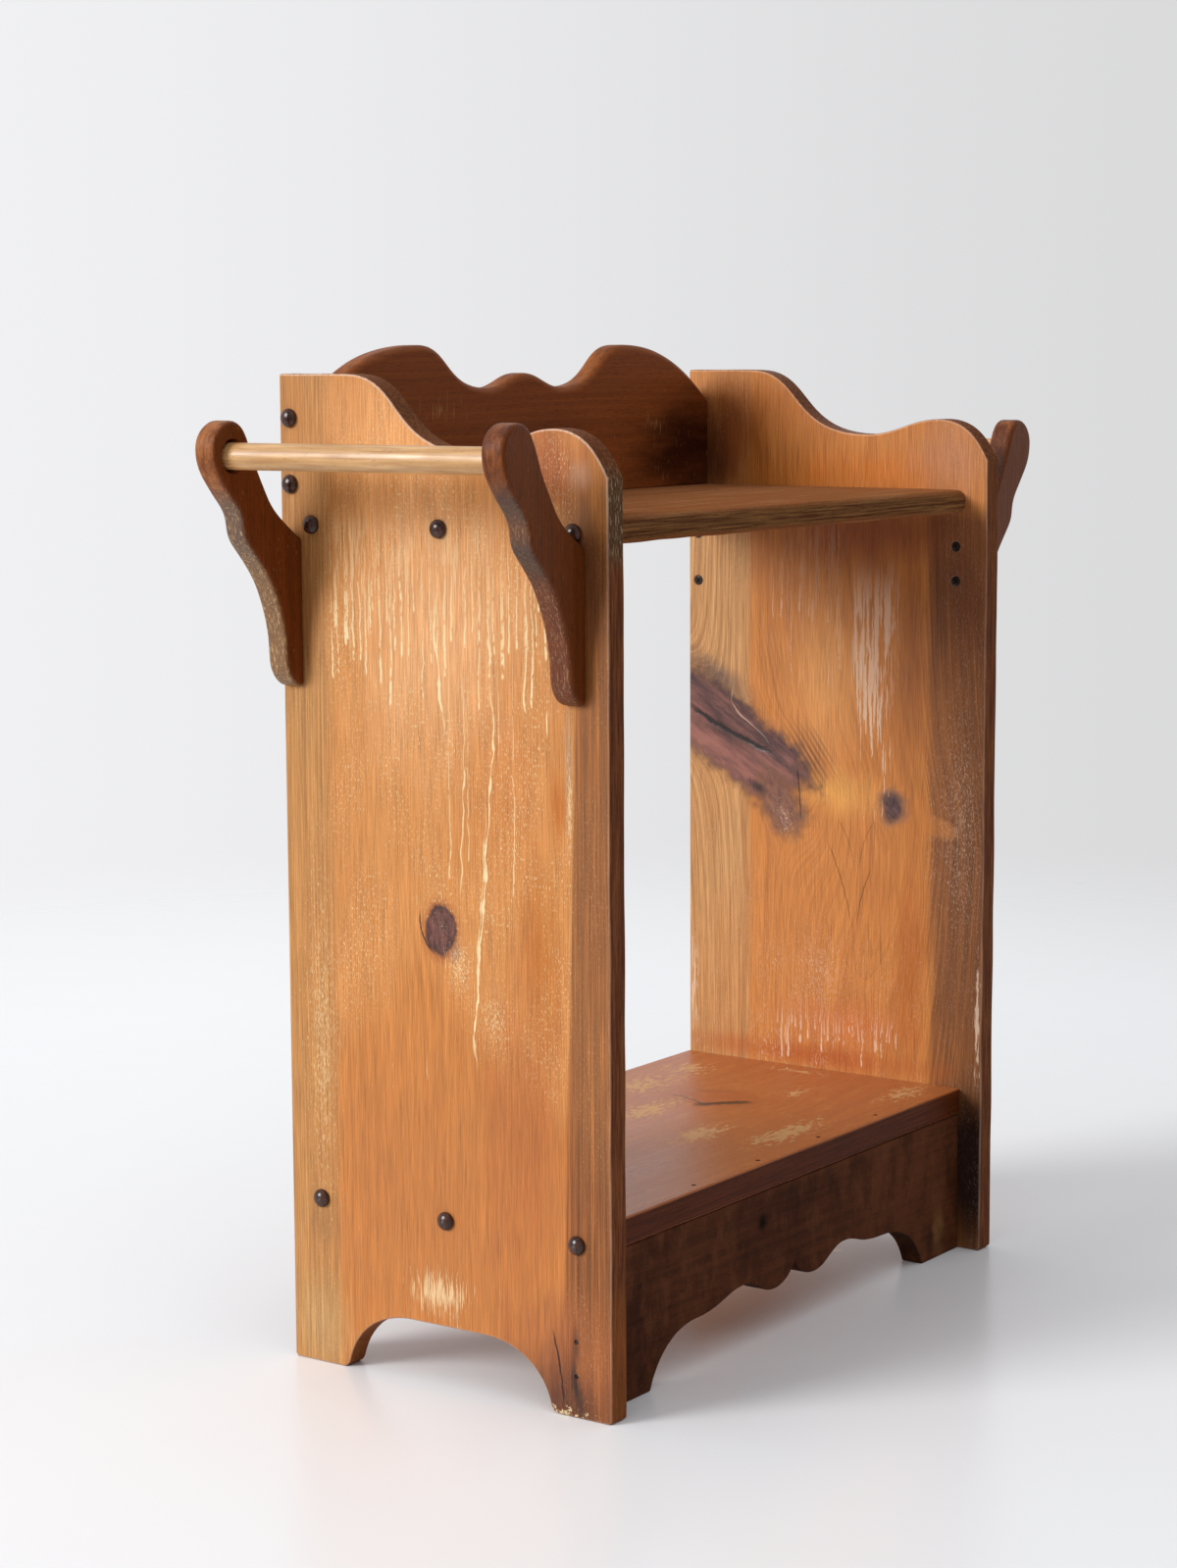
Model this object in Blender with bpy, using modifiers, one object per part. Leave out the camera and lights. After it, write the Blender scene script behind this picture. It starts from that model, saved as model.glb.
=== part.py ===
# Pine washstand: two shaped side boards carry two shelves, a scalloped splash and a scalloped
# apron, with a loose turned towel rail held between scrolled brackets at each side.
# Metres, +Z up, front towards -Y, origin on the floor under the middle of the stand.
import math

import bmesh
import bpy
from mathutils import Vector

# Clearances
GAP = 0.0003                    # between pieces that touch
RAIL_CLEARANCE = 0.0004         # round a rail in its socket, and at its ends

# Boards
WIDTH = 0.552                   # over the outer faces of the side boards
DEPTH = 0.286                   # side boards, front edge to back edge
SIDE_THICKNESS = 0.019
TOP_SHELF_THICKNESS = 0.019
LOWER_SHELF_THICKNESS = 0.021
SPLASH_THICKNESS = 0.019
APRON_THICKNESS = 0.019
BRACKET_THICKNESS = 0.019

# Shelves
TOP_SHELF_HEIGHT = 0.627        # floor to its upper face
LOWER_SHELF_HEIGHT = 0.135      # floor to its upper face
SHELF_SETBACK = 0.0195          # shelf fronts behind the side boards' front edges
TOP_SHELF_NOSE = 0.008          # radius of the top shelf's rounded front edge
LOWER_SHELF_NOSE = 0.002        # radius of the lower shelf's softened front edge
SHELF_OVERHANG = 0.001          # lower shelf past the apron's face

# Side boards, with the top edge measured up from the top shelf
SIDE_BACK_RISE = 0.094
SIDE_BACK_FLAT = 0.063          # level stretch, from the back edge
SIDE_DIP_RISE = 0.0435
SIDE_DIP_FROM_FRONT = 0.113
SIDE_HUMP_RISE = 0.0575
SIDE_HUMP_FROM_FRONT = 0.045
SIDE_SHOULDER_DROP = 0.0325     # hump down to the straight front edge
SIDE_SHOULDER_SLOPE = 62.0      # degrees, where the shoulder meets that edge
SIDE_EDGE_ROUND = 0.002
ARCH_HALF_WIDTH = 0.092         # foot arch at the floor
ARCH_HALF_FLAT = 0.032          # level stretch at its crown
ARCH_HEIGHT = 0.046
ARCH_LEAN = 75.0                # degrees, slope of the arch where it leaves the floor

# Splash, with the top edge measured up from the top shelf and out from the middle
SPLASH_CENTRE_RISE = 0.0955
SPLASH_DIP_RISE = 0.0845
SPLASH_DIP_OUT = 0.048
SPLASH_PEAK_RISE = 0.1173
SPLASH_PEAK_OUT = 0.132
SPLASH_END_RISE = 0.073
SPLASH_END_SLOPE = 38.0         # degrees, fall of the top edge at its ends
SPLASH_EDGE_ROUND = 0.004

# Apron, with the scallops measured up from the floor and out from the middle
APRON_NOTCH_HEIGHT = 0.049
APRON_NOTCH_SLOPE = 52.0        # degrees, sides of the pointed notch
APRON_LOBE_HEIGHT = 0.0345
APRON_LOBE_OUT = 0.029
APRON_PEAK_HEIGHT = 0.048
APRON_PEAK_OUT = 0.073
APRON_SHOULDER_HEIGHT = 0.0387
APRON_FOOT_WIDTH = 0.059
APRON_FOOT_RUN = 0.062          # foot to the shoulder of the scallops
APRON_FOOT_SLOPE = 68.0         # degrees, inner edge of the foot at the floor

# Towel rails
RAIL_RISE_LEFT = 0.041          # rail axis above the top shelf
RAIL_RISE_RIGHT = 0.029
RAIL_REACH = 0.072              # rail axis out from the side board
RAIL_RADIUS = 0.0095
RAIL_CHAMFER = 0.001
SOCKET_DEPTH = 0.011

# Brackets, measured out from the side board, or from the rail axis where so said
BRACKET_SEAT_TOP = 0.0592       # seat on the side board, below the rail axis
BRACKET_SEAT_BOTTOM = 0.167
BRACKET_SEAT_SLOPE = 36.0       # degrees, fall of the upper edge onto the seat
BRACKET_SETBACK = 0.019         # front bracket behind the side boards' front edge
BRACKET_EDGE_ROUND = 0.004
KNOB_RADIUS = 0.020             # knob round the rail's end
KNOB_INNER = 0.023              # its inner side, which is fuller
KNOB_RISE = 0.005               # its middle above the rail axis
KNOB_SAG = 0.007                # its inner edge starts this far below its middle
KNOB_SLOPE = 67.0               # degrees, inner edge where it leaves the knob
NECK_INNER = 0.0365             # neck's inner edge, in from the rail axis
NECK_OUTER = 0.0035             # neck's outer edge, out from the rail axis
NECK_DROP = 0.027               # middle of the neck below the rail axis
NECK_INNER_SLOPE = 63.0
NECK_OUTER_SLOPE = 49.0
STEP_IN = 0.010                 # small step under the neck, in from the rail axis
STEP_DROP = 0.049               # its top below the rail axis
STEP_HEIGHT = 0.0145
STEP_RUN = 0.0065
STEP_TOP_SLOPE = 82.0
STEP_FOOT_SLOPE = 48.0
TIP_THICKNESS = 0.017
TIP_ROUND = 0.019               # height of the rounded tip
TIP_SLOPE = 86.0
WAIST_THICKNESS = 0.030
WAIST_RISE = 0.0705             # above the tip
WAIST_SLOPE = 65.0

# Button plugs
PLUG_RADIUS = 0.00475
PLUG_LENGTH = 0.006
BUTTON_RADIUS = 0.00675
BUTTON_RIM = 0.0008
BUTTON_DOME = 0.0042

# Wood screws
SCREW_RADIUS = 0.0021
SCREW_HEAD_RADIUS = 0.0041
SCREW_POINT = 0.006
BOARD_SCREW_LENGTH = 0.038
BRACKET_SCREW_LENGTH = 0.032
SHELF_SCREW_INSET = 0.0285      # outer shelf screws, in from the front and back edges
SPLASH_SCREW_LOW = 0.019        # above the top shelf
SPLASH_SCREW_HIGH = 0.066
FRONT_SCREW_DROP = 0.0158       # upper screw of a front bracket, below the seat's top
FRONT_SCREW_SPACING = 0.028
REAR_SCREW_DROP = 0.0118        # the same for a rear bracket
REAR_SCREW_SPACING = 0.040

# Nails
NAIL_RADIUS = 0.0009
NAIL_HEAD_RADIUS = 0.0014
NAIL_HEAD = 0.0015
NAIL_POINT = 0.003
NAIL_SET = 0.0006               # head below the surface
NAIL_LENGTH = 0.038
APRON_NAIL_LOW = 0.030          # above the floor
APRON_NAIL_HIGH = 0.055
SHELF_NAIL_SPACING = 0.088
SHELF_NAIL_SHIFT = 0.005        # middle of the row, to the right of the stand's middle
SHELF_NAIL_COUNT = 4

# Fineness of curves and round pieces
BOARD_STEPS = 6
BRACKET_STEPS = 4
ROUND_STEPS = 2
DOME_STEPS = 3
BUTTON_SIDES = 12
SCREW_SIDES = 8
NAIL_SIDES = 8
RAIL_SIDES = 24
EASE = 0.39                     # curve handle as a share of its chord
LONG_EASE = 0.60                # the same for the slow end of a long sweep
CUT_THROUGH = 0.002             # how far a drill starts outside the wood
WELD = 0.000001
FLAT = 0.99                     # a board's face, by how squarely its normal points

# Places worked out from the sizes above
SIDE_OUT = WIDTH / 2
SIDE_IN = SIDE_OUT - SIDE_THICKNESS
BETWEEN = 2 * (SIDE_IN - GAP)
FRONT = -DEPTH / 2
BACK = DEPTH / 2
SHELF_FRONT = FRONT + SHELF_SETBACK
LOWER_SHELF_UNDER = LOWER_SHELF_HEIGHT - LOWER_SHELF_THICKNESS
APRON_MIDDLE = SHELF_FRONT + SHELF_OVERHANG + APRON_THICKNESS / 2
SPLASH_MIDDLE = BACK - SPLASH_THICKNESS / 2
FRONT_BRACKET_MIDDLE = FRONT + BRACKET_SETBACK + BRACKET_THICKNESS / 2
REAR_BRACKET_MIDDLE = BACK - BRACKET_THICKNESS / 2
RAIL_OUT = SIDE_OUT + RAIL_REACH
BRACKETS = {
    "front": (FRONT_BRACKET_MIDDLE, FRONT_SCREW_DROP, FRONT_SCREW_SPACING),
    "rear": (REAR_BRACKET_MIDDLE, REAR_SCREW_DROP, REAR_SCREW_SPACING),
}
SCREW_SEAT_RADIUS = SCREW_HEAD_RADIUS + GAP * math.sqrt(2)
COUNTERBORE_RADIUS = PLUG_RADIUS + GAP
SIDES = {
    "left": (-1, TOP_SHELF_HEIGHT + RAIL_RISE_LEFT),
    "right": (1, TOP_SHELF_HEIGHT + RAIL_RISE_RIGHT),
}

# How an outline's own axes lie in the stand: upright boards facing sideways, and facing front
ACROSS = (math.pi / 2, 0, math.pi / 2)
ALONG = (math.pi / 2, 0, 0)


def start_scene():
    """Empty the scene and give it one collection for the parts and one for the cutters."""
    for old in list(bpy.data.objects):
        bpy.data.objects.remove(old, do_unlink=True)
    parts = bpy.data.collections.new("washstand")
    cutters = bpy.data.collections.new("washstand_cutters")
    for group in (parts, cutters):
        bpy.context.scene.collection.children.link(group)
    return parts, cutters


def finish(name, colour, roughness, metallic=0.0):
    """Principled material with one plain colour."""
    material = bpy.data.materials.new(name)
    material.use_nodes = True
    shader = material.node_tree.nodes["Principled BSDF"]
    shader.inputs["Base Color"].default_value = (*colour, 1.0)
    shader.inputs["Roughness"].default_value = roughness
    shader.inputs["Metallic"].default_value = metallic
    return material


def knot(u, v, arrive=None, leave=None, ease_in=EASE, ease_out=EASE):
    """Outline point with the headings, in degrees, of the curves that meet there; None is straight."""
    return u, v, arrive, leave, ease_in, ease_out


def smooth(u, v, heading, ease_in=EASE, ease_out=EASE):
    """Outline point that the curve runs through without a corner."""
    return knot(u, v, heading, heading, ease_in, ease_out)


def mirrored(half):
    """The same knots on the other side of the middle, in the order that carries the outline on."""
    other = []
    for u, v, arrive, leave, ease_in, ease_out in reversed(half):
        turned_arrive = None if leave is None else -leave
        turned_leave = None if arrive is None else -arrive
        other.append(knot(-u, v, turned_arrive, turned_leave, ease_out, ease_in))
    return other


def handle(point, heading, reach):
    """Place of a curve handle that lies at a heading from its point."""
    angle = math.radians(heading)
    return point + Vector((math.cos(angle), math.sin(angle), 0)) * reach


def sawn_board(name, knots, thickness, steps=BOARD_STEPS):
    """Closed board mesh with the given outline, centred on its thickness."""
    curve = bpy.data.curves.new(name, "CURVE")
    curve.dimensions = "2D"
    curve.fill_mode = "BOTH"
    curve.extrude = thickness / 2
    curve.resolution_u = steps
    curve.render_resolution_u = steps
    spline = curve.splines.new("BEZIER")
    spline.bezier_points.add(len(knots) - 1)
    spline.use_cyclic_u = True
    places = [Vector((k[0], k[1], 0)) for k in knots]
    for i, (point, k) in enumerate(zip(spline.bezier_points, knots)):
        arrive, leave, ease_in, ease_out = k[2:]
        point.co = places[i]
        point.handle_left_type = "VECTOR" if arrive is None else "FREE"
        point.handle_right_type = "VECTOR" if leave is None else "FREE"
        if arrive is not None:
            chord = (places[i] - places[i - 1]).length
            point.handle_left = handle(places[i], arrive + 180, ease_in * chord)
        if leave is not None:
            chord = (places[(i + 1) % len(places)] - places[i]).length
            point.handle_right = handle(places[i], leave, ease_out * chord)
    drawn = bpy.data.objects.new(name + "_outline", curve)
    bpy.context.scene.collection.objects.link(drawn)
    evaluated = drawn.evaluated_get(bpy.context.evaluated_depsgraph_get())
    mesh = bpy.data.meshes.new_from_object(evaluated)
    mesh.name = name
    bpy.data.objects.remove(drawn, do_unlink=True)
    bpy.data.curves.remove(curve)
    work = bmesh.new()
    work.from_mesh(mesh)
    bmesh.ops.remove_doubles(work, verts=work.verts, dist=WELD)
    for facing in (-1, 1):
        bmesh.ops.dissolve_faces(work, faces=[f for f in work.faces if f.normal.z * facing > FLAT])
    work.to_mesh(mesh)
    work.free()
    return mesh


def softened(mesh, radius, chosen):
    """Round the rims of a sawn board where chosen(u, v) is true at the middle of an edge."""
    work = bmesh.new()
    work.from_mesh(mesh)
    rims = []
    for edge in work.edges:
        flat_sides = sum(abs(f.normal.z) > FLAT for f in edge.link_faces)
        middle = (edge.verts[0].co + edge.verts[1].co) / 2
        if flat_sides == 1 and chosen(middle.x, middle.y):
            rims.append(edge)
    bmesh.ops.bevel(work, geom=rims, offset=radius, offset_type="OFFSET", segments=ROUND_STEPS,
                    profile=0.5, affect="EDGES", material=-1)
    work.to_mesh(mesh)
    work.free()


def place(name, mesh, material, group, location, rotation=(0, 0, 0)):
    """Named object for a mesh, with its material, in its collection."""
    mesh.materials.clear()
    mesh.materials.append(material)
    item = bpy.data.objects.new(name, mesh)
    item.location = location
    item.rotation_euler = rotation
    group.objects.link(item)
    return item


def drilled(board, cutters):
    """Cut every drill and socket that passes through a board."""
    cut = board.modifiers.new("drilled", "BOOLEAN")
    cut.operation = "DIFFERENCE"
    cut.solver = "EXACT"
    cut.operand_type = "COLLECTION"
    cut.collection = cutters


def turned(name, profile, sides, group, location, facing, material=None):
    """Round piece: a profile of (radius, height) from top to bottom, turned about the facing line."""
    mesh = bpy.data.meshes.new(name)
    points = [(radius, 0, height) for radius, height in profile]
    mesh.from_pydata(points, [(i, i + 1) for i in range(len(points) - 1)], [])
    item = bpy.data.objects.new(name, mesh)
    item.location = location
    item.rotation_euler = Vector(facing).to_track_quat("Z", "Y").to_euler()
    lathe = item.modifiers.new("turned", "SCREW")
    lathe.axis = "Z"
    lathe.steps = sides
    lathe.render_steps = sides
    lathe.use_merge_vertices = True
    lathe.merge_threshold = WELD
    lathe.use_smooth_shade = True
    group.objects.link(item)
    if material is None:
        item.hide_render = True
        item.display_type = "WIRE"
    else:
        mesh.materials.append(material)
    return item


def side_outline():
    """Side board in (y, z): swept top, rounded shoulder, straight front, arched foot."""
    top = TOP_SHELF_HEIGHT + SIDE_BACK_RISE
    hump = TOP_SHELF_HEIGHT + SIDE_HUMP_RISE
    return [
        knot(BACK, 0),
        knot(BACK, top),
        knot(BACK - SIDE_BACK_FLAT, top, None, 180),
        smooth(FRONT + SIDE_DIP_FROM_FRONT, TOP_SHELF_HEIGHT + SIDE_DIP_RISE, 180, ease_in=LONG_EASE),
        smooth(FRONT + SIDE_HUMP_FROM_FRONT, hump, 180),
        knot(FRONT, hump - SIDE_SHOULDER_DROP, 180 + SIDE_SHOULDER_SLOPE, None),
        knot(FRONT, 0),
        knot(-ARCH_HALF_WIDTH, 0, None, ARCH_LEAN),
        knot(-ARCH_HALF_FLAT, ARCH_HEIGHT, 0, None),
        knot(ARCH_HALF_FLAT, ARCH_HEIGHT, None, 0),
        knot(ARCH_HALF_WIDTH, 0, -ARCH_LEAN, None),
    ]


def shelf_outline(top, thickness, nose):
    """Shelf in (y, z): square back, front edge rounded to the nose radius."""
    under = top - thickness
    return [
        knot(BACK, under),
        knot(BACK, top),
        knot(SHELF_FRONT + nose, top, None, 180),
        knot(SHELF_FRONT, top - nose, 270, None),
        knot(SHELF_FRONT, under + nose, None, 270),
        knot(SHELF_FRONT + nose, under, 0, None),
    ]


def splash_outline():
    """Splash in (x, z): a low bump in the middle between two tall shoulders."""
    half = BETWEEN / 2
    base = TOP_SHELF_HEIGHT
    right = [
        knot(half, base + GAP),
        knot(half, base + SPLASH_END_RISE, None, 180 - SPLASH_END_SLOPE),
        smooth(SPLASH_PEAK_OUT, base + SPLASH_PEAK_RISE, 180),
        smooth(SPLASH_DIP_OUT, base + SPLASH_DIP_RISE, 180, ease_in=LONG_EASE),
    ]
    centre = smooth(0, base + SPLASH_CENTRE_RISE, 180)
    return right + [centre] + mirrored(right)


def apron_outline():
    """Apron in (x, z): a foot at each end, scallops and a pointed notch between."""
    half = BETWEEN / 2
    foot = half - APRON_FOOT_WIDTH
    right = [
        knot(half, LOWER_SHELF_UNDER - GAP),
        knot(half, 0),
        knot(foot, 0, None, 180 - APRON_FOOT_SLOPE),
        smooth(foot - APRON_FOOT_RUN, APRON_SHOULDER_HEIGHT, 180, ease_out=LONG_EASE),
        smooth(APRON_PEAK_OUT, APRON_PEAK_HEIGHT, 180),
        smooth(APRON_LOBE_OUT, APRON_LOBE_HEIGHT, 180),
    ]
    notch = knot(0, APRON_NOTCH_HEIGHT, 180 - APRON_NOTCH_SLOPE, 180 + APRON_NOTCH_SLOPE)
    return right + [notch] + mirrored(right)


def bracket_outline():
    """Bracket, outwards from the side board and up from the rail axis: tip, step, neck and knob."""
    step = RAIL_REACH - STEP_IN
    return [
        knot(GAP, -BRACKET_SEAT_BOTTOM, None, 0),
        smooth(TIP_THICKNESS, TIP_ROUND - BRACKET_SEAT_BOTTOM, TIP_SLOPE),
        smooth(WAIST_THICKNESS, WAIST_RISE - BRACKET_SEAT_BOTTOM, WAIST_SLOPE),
        smooth(step - STEP_RUN, -STEP_DROP - STEP_HEIGHT, STEP_FOOT_SLOPE),
        smooth(step, -STEP_DROP, STEP_TOP_SLOPE),
        smooth(RAIL_REACH + NECK_OUTER, -NECK_DROP, NECK_OUTER_SLOPE),
        smooth(RAIL_REACH + KNOB_RADIUS, KNOB_RISE, 90),
        smooth(RAIL_REACH, KNOB_RISE + KNOB_RADIUS, 180),
        smooth(RAIL_REACH - KNOB_INNER, KNOB_RISE - KNOB_SAG, 180 + KNOB_SLOPE),
        smooth(RAIL_REACH - NECK_INNER, -NECK_DROP, 180 + NECK_INNER_SLOPE),
        knot(GAP, -BRACKET_SEAT_TOP, 180 + BRACKET_SEAT_SLOPE, None),
    ]


def button_profile():
    """Mushroom plug: domed head on the board's face, shank in the counterbore."""
    dome = []
    for i in range(DOME_STEPS):
        angle = math.pi / 2 * i / DOME_STEPS
        height = GAP + BUTTON_RIM + BUTTON_DOME * math.cos(angle)
        dome.append((BUTTON_RADIUS * math.sin(angle), height))
    return dome + [
        (BUTTON_RADIUS, GAP + BUTTON_RIM),
        (BUTTON_RADIUS, GAP),
        (PLUG_RADIUS, GAP),
        (PLUG_RADIUS, -PLUG_LENGTH),
        (0, -PLUG_LENGTH),
    ]


def screw_profile(sink, length):
    """Countersunk screw whose head lies a sink below the board's face."""
    neck = sink + SCREW_HEAD_RADIUS - SCREW_RADIUS
    return [
        (0, -sink),
        (SCREW_HEAD_RADIUS, -sink),
        (SCREW_RADIUS, -neck),
        (SCREW_RADIUS, SCREW_POINT - sink - length),
        (0, -sink - length),
    ]


def screw_drill(mouth, sink, length):
    """Hole for such a screw: a mouth down to the head, a conical seat, then the shank's hole."""
    bore = SCREW_RADIUS + GAP
    return [
        (0, CUT_THROUGH),
        (mouth, CUT_THROUGH),
        (mouth, mouth - SCREW_SEAT_RADIUS - sink),
        (bore, bore - SCREW_SEAT_RADIUS - sink),
        (bore, SCREW_POINT - sink - length),
        (0, -sink - length - GAP),
    ]


def nail_profile():
    """Finishing nail, its small head set below the surface."""
    neck = NAIL_SET + NAIL_HEAD
    return [
        (0, -NAIL_SET),
        (NAIL_HEAD_RADIUS, -NAIL_SET),
        (NAIL_HEAD_RADIUS, -neck),
        (NAIL_RADIUS, -neck),
        (NAIL_RADIUS, NAIL_POINT - NAIL_SET - NAIL_LENGTH),
        (0, -NAIL_SET - NAIL_LENGTH),
    ]


def nail_drill():
    """Hole that the nail has made, with its clearance."""
    neck = NAIL_SET + NAIL_HEAD + GAP
    return [
        (0, CUT_THROUGH),
        (NAIL_HEAD_RADIUS + GAP, CUT_THROUGH),
        (NAIL_HEAD_RADIUS + GAP, -neck),
        (NAIL_RADIUS + GAP, -neck),
        (NAIL_RADIUS + GAP, NAIL_POINT - NAIL_SET - NAIL_LENGTH),
        (0, -NAIL_SET - NAIL_LENGTH - GAP),
    ]


def rail_profile(half_length):
    """Plain dowel with chamfered ends."""
    return [
        (0, half_length),
        (RAIL_RADIUS - RAIL_CHAMFER, half_length),
        (RAIL_RADIUS, half_length - RAIL_CHAMFER),
        (RAIL_RADIUS, RAIL_CHAMFER - half_length),
        (RAIL_RADIUS - RAIL_CHAMFER, -half_length),
        (0, -half_length),
    ]


def socket_profile(half_length):
    """One drill for both sockets of a rail, wide enough that its flats clear the dowel."""
    bore = (RAIL_RADIUS + RAIL_CLEARANCE) / math.cos(math.pi / RAIL_SIDES)
    return [(0, half_length), (bore, half_length), (bore, -half_length), (0, -half_length)]


def boards(parts, finishes):
    """Side boards, shelves, splash and apron."""
    made = []
    for side, (sign, _) in SIDES.items():
        mesh = sawn_board(side + "_side_panel", side_outline(), SIDE_THICKNESS)
        softened(mesh, SIDE_EDGE_ROUND, lambda y, z: z > ARCH_HEIGHT and y < BACK - WELD)
        middle = (sign * (SIDE_OUT - SIDE_THICKNESS / 2), 0, 0)
        made.append(place(mesh.name, mesh, finishes["honey_pine"], parts, middle, ACROSS))

    shelves = {
        "top_shelf": (TOP_SHELF_HEIGHT, TOP_SHELF_THICKNESS, TOP_SHELF_NOSE),
        "lower_shelf": (LOWER_SHELF_HEIGHT, LOWER_SHELF_THICKNESS, LOWER_SHELF_NOSE),
    }
    for name, size in shelves.items():
        mesh = sawn_board(name, shelf_outline(*size), BETWEEN)
        made.append(place(name, mesh, finishes["red_pine"], parts, (0, 0, 0), ACROSS))

    mesh = sawn_board("backsplash", splash_outline(), SPLASH_THICKNESS)
    ends = TOP_SHELF_HEIGHT + SPLASH_END_RISE - WELD
    softened(mesh, SPLASH_EDGE_ROUND, lambda x, z: z > ends)
    made.append(place(mesh.name, mesh, finishes["brown_pine"], parts, (0, SPLASH_MIDDLE, 0), ALONG))

    mesh = sawn_board("front_apron", apron_outline(), APRON_THICKNESS)
    made.append(place(mesh.name, mesh, finishes["dark_pine"], parts, (0, APRON_MIDDLE, 0), ALONG))
    return made


def towel_rails(parts, cutters, finishes):
    """Both rails, each on its own axis, with the brackets that hold it."""
    made = []
    mouths = (FRONT_BRACKET_MIDDLE + BRACKET_THICKNESS / 2, REAR_BRACKET_MIDDLE - BRACKET_THICKNESS / 2)
    half_socket = (mouths[1] - mouths[0]) / 2 + SOCKET_DEPTH
    half_rail = half_socket - RAIL_CLEARANCE
    for side, (sign, height) in SIDES.items():
        axis = (sign * RAIL_OUT, sum(mouths) / 2, height)
        turned(side + "_sockets", socket_profile(half_socket), RAIL_SIDES, cutters, axis, (0, 1, 0))
        dowel = rail_profile(half_rail)
        turned(side + "_towel_rail", dowel, RAIL_SIDES, parts, axis, (0, 1, 0), finishes["birch"])
        for spot, (middle, _, _) in BRACKETS.items():
            name = "_".join((side, spot, "bracket"))
            outline = bracket_outline()
            if sign < 0:
                outline = mirrored(outline)
            mesh = sawn_board(name, outline, BRACKET_THICKNESS, BRACKET_STEPS)
            softened(mesh, BRACKET_EDGE_ROUND, lambda u, v: abs(u) > GAP + WELD)
            spot_place = (sign * SIDE_OUT, middle, height)
            made.append(place(name, mesh, finishes["walnut_stain"], parts, spot_place, ALONG))
    return made


def plugged_screws(parts, cutters, finishes):
    """Screws through the side boards into the shelf and splash ends, each under a button plug."""
    rows = {
        "top_shelf": TOP_SHELF_HEIGHT - TOP_SHELF_THICKNESS / 2,
        "lower_shelf": LOWER_SHELF_HEIGHT - LOWER_SHELF_THICKNESS / 2,
    }
    columns = {"front": FRONT + SHELF_SCREW_INSET, "middle": 0, "rear": BACK - SHELF_SCREW_INSET}
    spots = {}
    for row, height in rows.items():
        for column, depth in columns.items():
            spots[row + "_" + column] = (depth, height)
    spots["splash_lower"] = (SPLASH_MIDDLE, TOP_SHELF_HEIGHT + SPLASH_SCREW_LOW)
    spots["splash_upper"] = (SPLASH_MIDDLE, TOP_SHELF_HEIGHT + SPLASH_SCREW_HIGH)

    sink = PLUG_LENGTH + GAP + COUNTERBORE_RADIUS - SCREW_SEAT_RADIUS
    for side, (sign, _) in SIDES.items():
        facing = (sign, 0, 0)
        for spot, (depth, height) in spots.items():
            mouth = (sign * SIDE_OUT, depth, height)
            name = side + "_" + spot
            button = button_profile()
            turned(name + "_button", button, BUTTON_SIDES, parts, mouth, facing, finishes["button"])
            screw = screw_profile(sink, BOARD_SCREW_LENGTH)
            turned(name + "_screw", screw, SCREW_SIDES, parts, mouth, facing, finishes["steel"])
            drill = screw_drill(COUNTERBORE_RADIUS, sink, BOARD_SCREW_LENGTH)
            turned(name + "_drill", drill, BUTTON_SIDES, cutters, mouth, facing)


def bracket_screws(parts, cutters, finishes):
    """Two screws from inside each side board into each bracket's seat."""
    for side, (sign, height) in SIDES.items():
        facing = (-sign, 0, 0)
        for spot, (middle, drop, spacing) in BRACKETS.items():
            upper = height - BRACKET_SEAT_TOP - drop
            for level, z in (("upper", upper), ("lower", upper - spacing)):
                mouth = (sign * SIDE_IN, middle, z)
                name = "_".join((side, spot, "bracket", level))
                screw = screw_profile(GAP, BRACKET_SCREW_LENGTH)
                turned(name + "_screw", screw, SCREW_SIDES, parts, mouth, facing, finishes["steel"])
                drill = screw_drill(SCREW_SEAT_RADIUS, GAP, BRACKET_SCREW_LENGTH)
                turned(name + "_drill", drill, SCREW_SIDES, cutters, mouth, facing)


def nails(parts, cutters, finishes):
    """Nails into the apron: two through each side board, and a row down through the lower shelf."""
    spots = {}
    for side, (sign, _) in SIDES.items():
        for level, z in (("lower", APRON_NAIL_LOW), ("upper", APRON_NAIL_HIGH)):
            spots["_".join((side, "apron", level))] = ((sign * SIDE_OUT, APRON_MIDDLE, z), (sign, 0, 0))
    for i in range(SHELF_NAIL_COUNT):
        x = SHELF_NAIL_SHIFT + (i - (SHELF_NAIL_COUNT - 1) / 2) * SHELF_NAIL_SPACING
        spots["shelf_%d" % (i + 1)] = ((x, APRON_MIDDLE, LOWER_SHELF_HEIGHT), (0, 0, 1))
    for name, (mouth, facing) in spots.items():
        turned(name + "_nail", nail_profile(), NAIL_SIDES, parts, mouth, facing, finishes["steel"])
        turned(name + "_drill", nail_drill(), NAIL_SIDES, cutters, mouth, facing)


def main():
    parts, cutters = start_scene()
    finishes = {
        "honey_pine": finish("honey_pine", (0.54, 0.24, 0.072), 0.42),
        "red_pine": finish("red_pine", (0.36, 0.125, 0.034), 0.34),
        "brown_pine": finish("brown_pine", (0.15, 0.048, 0.015), 0.40),
        "dark_pine": finish("dark_pine", (0.065, 0.026, 0.013), 0.45),
        "walnut_stain": finish("walnut_stain", (0.12, 0.036, 0.012), 0.36),
        "birch": finish("birch", (0.58, 0.34, 0.12), 0.33),
        "button": finish("button", (0.026, 0.017, 0.013), 0.30),
        "steel": finish("steel", (0.11, 0.10, 0.095), 0.45, 1.0),
    }
    wooden = boards(parts, finishes)
    wooden += towel_rails(parts, cutters, finishes)
    plugged_screws(parts, cutters, finishes)
    bracket_screws(parts, cutters, finishes)
    nails(parts, cutters, finishes)
    for board in wooden:
        drilled(board, cutters)


main()
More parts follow.
